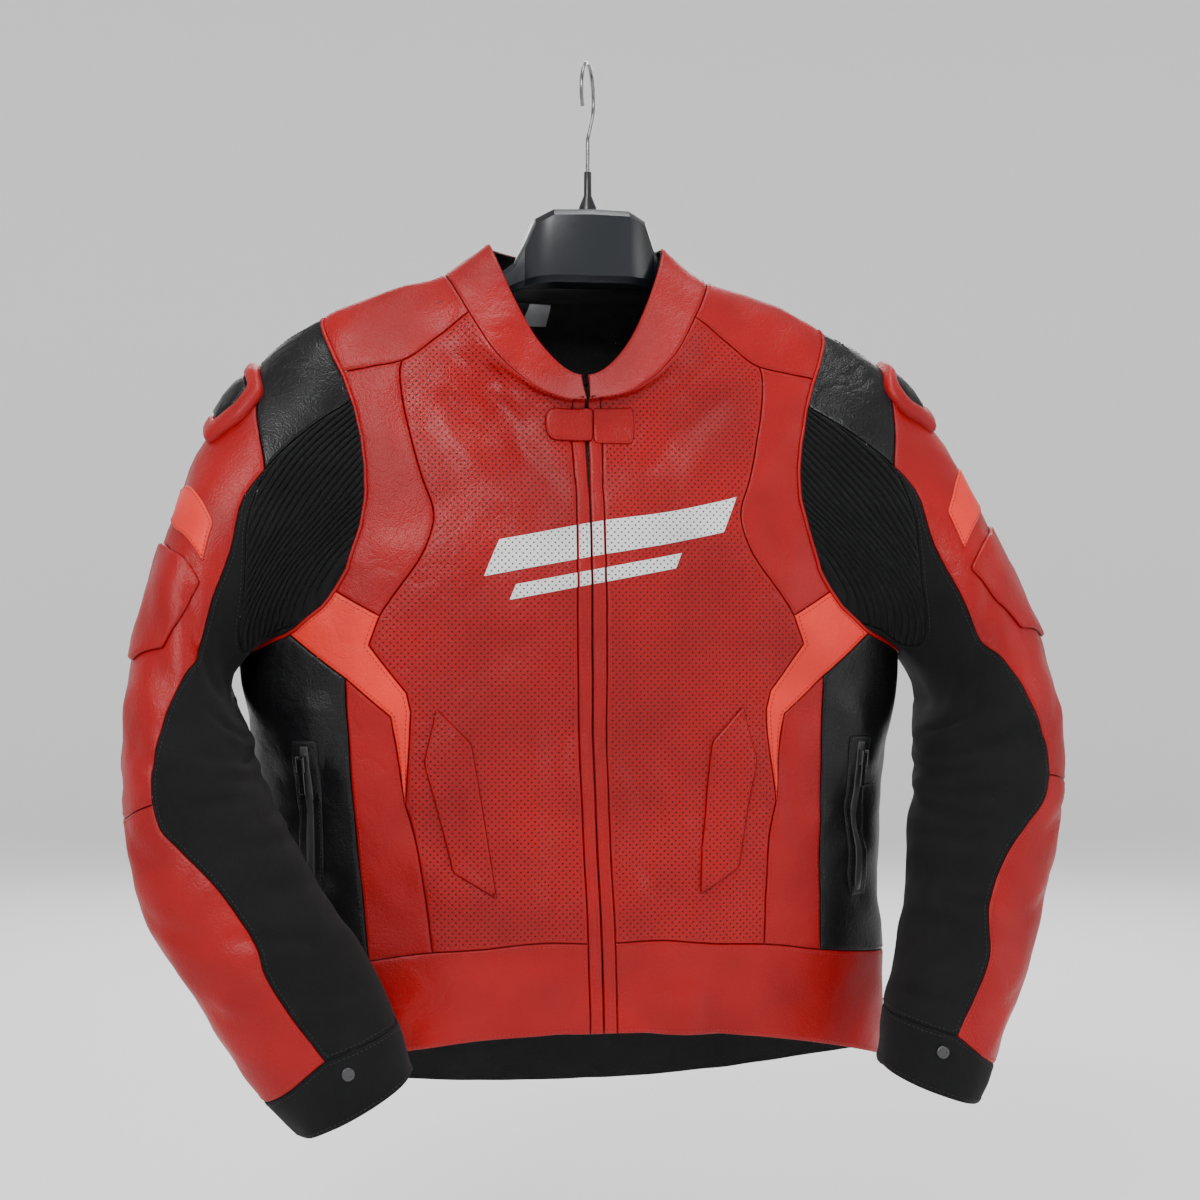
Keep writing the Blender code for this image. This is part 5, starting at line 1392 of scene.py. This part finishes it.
def grain_group():
    """Pebbled leather grain with faint creases, worn places and wrinkles where the hide has bent."""
    tree, board, given, result = group(
        "Leather grain", {"Place": "Vector", "Pebbles": "Float", "Creases": "Float"},
        {"Height": "Float", "Worn": "Float", "Wrinkles": "Float"})
    pebbles = board.add("ShaderNodeTexVoronoi", {"Vector": given["Place"], "Scale": given["Pebbles"]},
                        feature="F1")["Distance"]
    creases = board.add("ShaderNodeTexNoise", {"Vector": given["Place"], "Scale": 85.0, "Detail": 2.0,
                                               "Roughness": 0.6})[0]
    ridge = board.math("ABSOLUTE", board.math("SUBTRACT", creases, 0.5))
    ridge = board.range(ridge, 0.0, 0.06)
    pebble = board.range(pebbles, 0.2, 0.75, 1.0, 0.0)
    height = board.math("MULTIPLY", pebble, 0.5)
    height = board.math("ADD", height, board.math("MULTIPLY", ridge, given["Creases"]))
    board.link(height, result["Height"])
    worn = board.add("ShaderNodeTexNoise", {"Vector": given["Place"], "Scale": 14.0, "Detail": 2.0})[0]
    board.link(board.range(worn, 0.35, 0.7), result["Worn"])
    bent = board.add("ShaderNodeTexNoise", {"Vector": given["Place"], "Scale": 30.0, "Detail": 2.0,
                                            "Distortion": 0.5})[0]
    bent = board.range(board.math("ABSOLUTE", board.math("SUBTRACT", bent, 0.5)), 0.0, 0.12)
    where = board.add("ShaderNodeTexNoise", {"Vector": given["Place"], "Scale": 7.0, "Detail": 1.0})[0]
    board.link(board.math("MULTIPLY", bent, board.range(where, 0.45, 0.62)), result["Wrinkles"])
    return tree


def holes_group():
    """Round ventilation holes at the corners and middles of a square grid, seen from the front."""
    tree, board, given, result = group(
        "Ventilation holes", {"Place": "Vector", "Pitch": "Float", "Width": "Float"}, {"Mask": "Float"})
    parts = board.add("ShaderNodeSeparateXYZ", {0: given["Place"]})
    across = board.math("DIVIDE", parts[0], given["Pitch"])
    along = board.math("DIVIDE", parts[2], given["Pitch"])
    nearest = []
    for shift in (0.0, 0.5):
        x = board.math("SUBTRACT", board.math("FRACT", board.math("ADD", across, shift)), 0.5)
        z = board.math("SUBTRACT", board.math("FRACT", board.math("ADD", along, shift)), 0.5)
        away = board.math("SQRT", board.math("ADD", board.math("MULTIPLY", x, x), board.math("MULTIPLY", z, z)))
        nearest.append(away)
    away = board.math("MULTIPLY", board.math("MINIMUM", *nearest), given["Pitch"])
    radius = board.math("MULTIPLY", given["Width"], 0.5)
    soft = board.math("SUBTRACT", board.math("DIVIDE", away, radius), 0.8)
    mask = board.range(soft, 0.0, 0.4, 1.0, 0.0)
    board.link(mask, result["Mask"])
    return tree


def weave_group():
    """Fine knitted rows that follow the cloth's own lengths."""
    tree, board, given, result = group(
        "Knit", {"Lengths": "Vector", "Pitch": "Float"}, {"Height": "Float"})
    parts = board.add("ShaderNodeSeparateXYZ", {0: given["Lengths"]})
    rate = board.math("DIVIDE", 2*math.pi, given["Pitch"])
    across = board.math("SINE", board.math("MULTIPLY", parts[0], rate))
    along = board.math("SINE", board.math("MULTIPLY", parts[1], rate))
    height = board.math("MULTIPLY", across, along)
    board.link(board.math("ADD", height, 1.0), result["Height"])
    return tree


def seam_shade_group():
    """Painted shade in the groove along a panel's border: the leather's colour is darkened there."""
    tree, board, given, result = group(
        "Seam shade", {"Border": "Float", "Colour": "Color"}, {"Colour": "Color"})
    groove = board.range(given["Border"], 0.3, 1.0)
    # The grey that multiplies the colour is painted shade, strongest on the outer row of the border.
    painted_shade = board.add("ShaderNodeMix", {0: 1.0, 6: given["Colour"], 7: (0.4, 0.4, 0.4, 1)},
                     data_type="RGBA", blend_type="MULTIPLY")[2]
    board.link(board.mix(groove, given["Colour"], painted_shade), result["Colour"])
    return tree


GRAIN_CREASES = 0.5
GRAIN_DEPTH = 0.00035
GROUPS = {"grain": grain_group, "holes": holes_group, "weave": weave_group, "seam": seam_shade_group}
MADE_GROUPS = {}


def shared_group(name):
    """The node group of that name, built once."""
    if name not in MADE_GROUPS:
        MADE_GROUPS[name] = GROUPS[name]()
    return MADE_GROUPS[name]


def new_material(name, roughness, metallic=0.0, **sockets):
    """A Principled material with constant sockets set on the shader, and its board."""
    made = bpy.data.materials.new(name)
    made.use_nodes = True
    shader = made.node_tree.nodes["Principled BSDF"]
    shader.inputs["Roughness"].default_value = roughness
    shader.inputs["Metallic"].default_value = metallic
    for key, value in sockets.items():
        shader.inputs[key.replace("_", " ")].default_value = value
    return made, Board(made.node_tree), shader


def leather(name, colour, roughness=0.42, holes=False, **sockets):
    """Leather with its grain, soft shifts of tone and painted shade along the seams, and with holes where
    asked, each painted as darkened leather for the shade inside it.
    """
    sizes = bpy.context.scene.jacket_sizes
    made, board, shader = new_material(name, roughness, **sockets)
    place = board.add("ShaderNodeTexCoord")["Object"]
    grain = board.effect("grain", {"Place": place, "Pebbles": 1/sizes.grain, "Creases": GRAIN_CREASES})
    base = (*colour, 1)
    deep = (*(c*0.72 for c in colour), 1)
    tone = board.mix(grain["Worn"], deep, base)
    border = board.add("ShaderNodeAttribute", attribute_name="border")["Fac"]
    # Painted shade: the leather's colour is darkened in the groove along each panel's border.
    final = board.effect("seam", {"Border": border, "Colour": tone})["Colour"]
    height = grain["Height"]
    if holes:
        mask = board.effect("holes", {"Place": place, "Pitch": sizes.hole_pitch, "Width": sizes.hole_width})
        clear = board.math("MULTIPLY", mask["Mask"], board.range(border, 0.0, 0.1, 1.0, 0.0))
        # Each hole is painted as darkened leather, a painted shade for the inside of the hole.
        final = board.mix(clear, final, (*(c*0.12 for c in colour), 1))
        height = board.math("SUBTRACT", height, board.math("MULTIPLY", clear, 1.5))
    board.link(final, shader.inputs["Base Color"])
    rough = board.range(grain["Worn"], 0.0, 1.0, roughness + 0.08, roughness - 0.05)
    board.link(rough, shader.inputs["Roughness"])
    wrinkles = board.add("ShaderNodeBump", {"Height": grain["Wrinkles"], "Strength": 0.3,
                                            "Distance": 0.001})[0]
    bump = board.add("ShaderNodeBump", {"Height": height, "Strength": 0.6, "Distance": GRAIN_DEPTH,
                                        "Normal": wrinkles})[0]
    board.link(bump, shader.inputs["Normal"])
    return made


def cloth_material(name, colour, roughness, pitch, depth, **sockets):
    """Knitted cloth that follows its own lengths, with soft shifts of tone."""
    made, board, shader = new_material(name, roughness, **sockets)
    lengths = board.add("ShaderNodeUVMap", uv_map="lengths")[0]
    place = board.add("ShaderNodeTexCoord")["Object"]
    knit = board.effect("weave", {"Lengths": lengths, "Pitch": pitch})
    worn = board.add("ShaderNodeTexNoise", {"Vector": place, "Scale": 24.0, "Detail": 4.0})[0]
    tone = board.mix(board.range(worn, 0.35, 0.7), (*(c*0.7 for c in colour), 1), (*(c*1.3 for c in colour), 1))
    board.link(tone, shader.inputs["Base Color"])
    bump = board.add("ShaderNodeBump", {"Height": knit["Height"], "Strength": 0.5, "Distance": depth})[0]
    board.link(bump, shader.inputs["Normal"])
    return made


def hard_material(name, colour, roughness, metallic, grit):
    """Moulded plastic or metal with a fine uneven surface."""
    made, board, shader = new_material(name, roughness, metallic)
    place = board.add("ShaderNodeTexCoord")["Object"]
    marks = board.add("ShaderNodeTexNoise", {"Vector": place, "Scale": grit, "Detail": 4.0})[0]
    tone = board.mix(marks, (*(c*0.8 for c in colour), 1), (*(min(1, c*1.15) for c in colour), 1))
    board.link(tone, shader.inputs["Base Color"])
    rough = board.range(marks, 0.3, 0.7, roughness - 0.04, roughness + 0.06)
    board.link(rough, shader.inputs["Roughness"])
    bump = board.add("ShaderNodeBump", {"Height": marks, "Strength": 0.2, "Distance": 0.0001})[0]
    board.link(bump, shader.inputs["Normal"])
    return made


FINISHES = {}
LEATHER_GLOSS = {"Specular_IOR_Level": 0.27}


def finishes():
    """Every finish of the jacket and the hanger, built once from the chosen colours."""
    if FINISHES:
        return FINISHES
    c = bpy.context.scene.jacket_colours
    for name, colour, options in (
            ("red leather", c.red, {}), ("perforated leather", c.red, {"holes": True}),
            ("coral leather", c.coral, {"roughness": 0.45}), ("black leather", c.black, {"roughness": 0.36}),
            ("white print", c.bars, {"roughness": 0.4, "holes": True})):
        FINISHES[name] = leather(name, colour, **options, **LEATHER_GLOSS)
    for name, colour, roughness, pitch, depth, options in (
            ("black stretch", c.stretch, 0.85, 0.0014, 0.00025,
             {"Sheen_Weight": 0.03, "Specular_IOR_Level": 0.2}),
            ("lining", c.lining, 0.9, 0.003, 0.0004, {}),
            ("label cloth", (0.36, 0.37, 0.38), 0.8, 0.0008, 0.0001, {}),
            ("red thread", c.red, 0.55, 0.0006, 0.0001, {}),
            ("black thread", c.black, 0.55, 0.0006, 0.0001, {})):
        FINISHES[name] = cloth_material(name, colour, roughness, pitch, depth, **options)
    for name, colour, roughness, metallic, grit in (
            ("zip metal", (0.11, 0.11, 0.115), 0.3, 1.0, 900),
            ("zip black", (0.02, 0.02, 0.021), 0.4, 0.0, 900),
            ("hanger plastic", c.plastic, 0.32, 0.0, 300),
            ("hook steel", (0.2, 0.2, 0.2), 0.25, 1.0, 600)):
        FINISHES[name] = hard_material(name, colour, roughness, metallic, grit)
    return FINISHES


def merged_copy(node, look, bevel=0.0, body="jacket"):
    """A smooth copy of a hard CAD node that stands for it, its edges rounded."""
    made = bmesh.new()
    made.from_mesh(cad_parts[node].data)
    bmesh.ops.remove_doubles(made, verts=made.verts, dist=1e-6)
    bmesh.ops.dissolve_limit(made, angle_limit=math.radians(1), verts=made.verts, edges=made.edges)
    piece = finish(f"{node}_finished", made, look)
    if bevel:
        edge = piece.modifiers.new("edge", "BEVEL")
        edge.width = bevel
        edge.segments = 3
        edge.limit_method = "ANGLE"
        edge.angle_limit = math.radians(25)
    return settle(piece, look, node, body=body)


def hard_pieces():
    """Hanger, hook, socket, zip sliders, pulls and studs."""
    merged_copy("hanger", "hanger plastic", 0.002)
    merged_copy("hook", "hook steel")
    merged_copy("hook_socket", "hanger plastic", 0.0004)
    for side in ("left", "right"):
        merged_copy(f"pocket_slider_{side}", "zip metal", 0.0004)
        merged_copy(f"pocket_pull_{side}", "zip metal", 0.0003, body=f"pull_{side}")
        merged_copy(f"cuff_snap_{side}", "zip metal", 0.0003)


def pockets(form):
    """Welts and chains of the pocket zips."""
    torso = form.torso

    def box(side, width, margin):
        x0, x1 = POCKET_X - width/2, POCKET_X + width/2
        top, low = POCKET_TOP - margin, POCKET_LOW + margin
        corners = np.array([find(form.half, "F", x, z)
                            for x, z in ((x0, low), (x1, low), (x1, top), (x0, top))])
        return corners if side == "left" else mirror_places(corners)
    for side in ("left", "right"):
        patch(f"pocket_welt_{side}", torso, rounded(box(side, WELT, 0), torso), "black leather", 1.2,
              thread="black thread")
        flat, _ = panel_plan(torso, rounded(box(side, CHAIN, CHAIN_MARGIN), torso, 1), insets=(0, 0.5, 1))
        chain = shell(f"pocket_chain_{side}_cloth", torso, flat, "zip black", high=1.8, thick=0.8,
                      inner="zip black")
        settle(chain, "zip black", f"pocket_chain_{side}")


def area_lamp(name, place, aim, size, power):
    """A soft rectangular lamp turned to a point, in metres and watts."""
    data = bpy.data.lights.new(name, "AREA")
    data.shape = "RECTANGLE"
    data.size, data.size_y = size
    data.energy = power
    made = placed(name, data)
    made.location = place
    made.rotation_euler = (Vector(aim) - Vector(place)).to_track_quat("-Z", "Y").to_euler()


def studio():
    """Pale floor that curves up into a wall all round, soft lamps and the camera."""
    made = bmesh.new()
    straight = FLOOR_RADIUS - FLOOR_BEND
    section = [(0.001, FLOOR_HEIGHT), (straight, FLOOR_HEIGHT)]
    section += [(straight + FLOOR_BEND*math.sin(t), FLOOR_HEIGHT + FLOOR_BEND - FLOOR_BEND*math.cos(t))
                for t in np.linspace(0, math.pi/2, 9)[1:]]
    section.append((FLOOR_RADIUS, FLOOR_HEIGHT + WALL_HEIGHT))
    verts = [made.verts.new((r, 0, z)) for r, z in section]
    edges = [made.edges.new(pair) for pair in zip(verts, verts[1:])]
    bmesh.ops.spin(made, geom=verts + edges, cent=(0, 0, 0), axis=(0, 0, 1), angle=2*math.pi, steps=64,
                   use_merge=True)
    bmesh.ops.remove_doubles(made, verts=made.verts, dist=1e-4)
    bmesh.ops.recalc_face_normals(made, faces=made.faces)
    mesh = bpy.data.meshes.new("floor")
    made.to_mesh(mesh)
    made.free()
    mesh.shade_smooth()
    floor = placed("floor", mesh)
    paint, _, shader = new_material("pale floor", 0.9)
    shader.inputs["Base Color"].default_value = PALE
    mesh.materials.append(paint)
    for name, place, size, power in LAMPS:
        area_lamp(name, place, LAMPS_AIM, size, power)
    world = bpy.data.worlds.new("studio")
    world.use_nodes = True
    sky = world.node_tree.nodes["Background"]
    sky.inputs["Color"].default_value = (1, 1, 1, 1)
    sky.inputs["Strength"].default_value = WORLD_LIGHT
    bpy.context.scene.world = world
    camera_at_photo()


def camera_at_photo():
    """The camera at the photograph's angle."""
    data = bpy.data.cameras.new("camera")
    data.lens = LENS
    data.sensor_width = SENSOR
    data.clip_end = CAMERA_REACH
    made = placed("camera", data)
    turn = math.radians(CAMERA_AZIMUTH)
    aim = Vector(AIM)*MM
    eye = aim + Vector((math.sin(turn), -math.cos(turn), 0))*CAMERA_DISTANCE*MM
    made.location = eye
    made.rotation_euler = (aim - eye).to_track_quat("-Z", "Y").to_euler()
    bpy.context.scene.camera = made


class JACKET_OT_body(bpy.types.Operator):
    """Cut and lay the panels of the body, the collar and the linings"""
    bl_idname = "jacket.body"
    bl_label = "Body panels"

    def execute(self, context):
        form = Form.get()
        body_panels(form)
        collar(form)
        linings(form)
        return {"FINISHED"}


class JACKET_OT_sleeves(bpy.types.Operator):
    """Cut and lay the panels of both sleeves, with their caps and patches"""
    bl_idname = "jacket.sleeves"
    bl_label = "Sleeves"

    def execute(self, context):
        form = Form.get()
        for side in ("left", "right"):
            sleeve_panels(form, side)
            sleeve_trim(form, side)
        return {"FINISHED"}


class JACKET_OT_patches(bpy.types.Operator):
    """Lay the vent patches, the collar strap and the pocket zips on the body"""
    bl_idname = "jacket.patches"
    bl_label = "Patches and pockets"

    def execute(self, context):
        form = Form.get()
        front_patches(form)
        chest_bars(form)
        pockets(form)
        return {"FINISHED"}


class JACKET_OT_sewing(bpy.types.Operator):
    """Sew every panel and patch along its border and lay the piping"""
    bl_idname = "jacket.sewing"
    bl_label = "Stitching and piping"

    def execute(self, context):
        sewing(Form.get())
        return {"FINISHED"}


class JACKET_OT_hard_pieces(bpy.types.Operator):
    """Finish the hanger, the hook, the zip sliders, the pulls and the studs"""
    bl_idname = "jacket.hard_pieces"
    bl_label = "Hanger and metal"

    def execute(self, context):
        hard_pieces()
        return {"FINISHED"}


class JACKET_OT_studio(bpy.types.Operator):
    """Set up the floor, the lamps and the camera"""
    bl_idname = "jacket.studio"
    bl_label = "Studio"

    def execute(self, context):
        studio()
        return {"FINISHED"}


class JACKET_PT_sidebar(bpy.types.Panel):
    """Buttons that build the jacket, and its sizes and colours"""
    bl_label = "Jacket"
    bl_idname = "JACKET_PT_sidebar"
    bl_space_type = "VIEW_3D"
    bl_region_type = "UI"
    bl_category = "Jacket"

    def draw(self, context):
        for operator in OPERATORS:
            self.layout.operator(operator.bl_idname)
        for settings in (context.scene.jacket_sizes, context.scene.jacket_colours):
            for name in settings.__annotations__:
                self.layout.prop(settings, name)


OPERATORS = (JACKET_OT_studio, JACKET_OT_body, JACKET_OT_sleeves, JACKET_OT_patches, JACKET_OT_sewing,
             JACKET_OT_hard_pieces)
CLASSES = (JacketSizes, JacketColours, *OPERATORS, JACKET_PT_sidebar)


def register():
    """Make the settings, the buttons and the sidebar known to Blender."""
    for part in CLASSES:
        bpy.utils.register_class(part)
    bpy.types.Scene.jacket_sizes = PointerProperty(type=JacketSizes)
    bpy.types.Scene.jacket_colours = PointerProperty(type=JacketColours)


def unregister():
    """Take away what register added."""
    del bpy.types.Scene.jacket_colours
    del bpy.types.Scene.jacket_sizes
    for part in reversed(CLASSES):
        bpy.utils.unregister_class(part)


def main():
    """Build the stage and every piece in order, and note the sizes."""
    register()
    bpy.ops.jacket.studio()
    bpy.ops.jacket.body()
    bpy.ops.jacket.sleeves()
    bpy.ops.jacket.patches()
    bpy.ops.jacket.sewing()
    bpy.ops.jacket.hard_pieces()


if __name__ == "__main__":
    main()
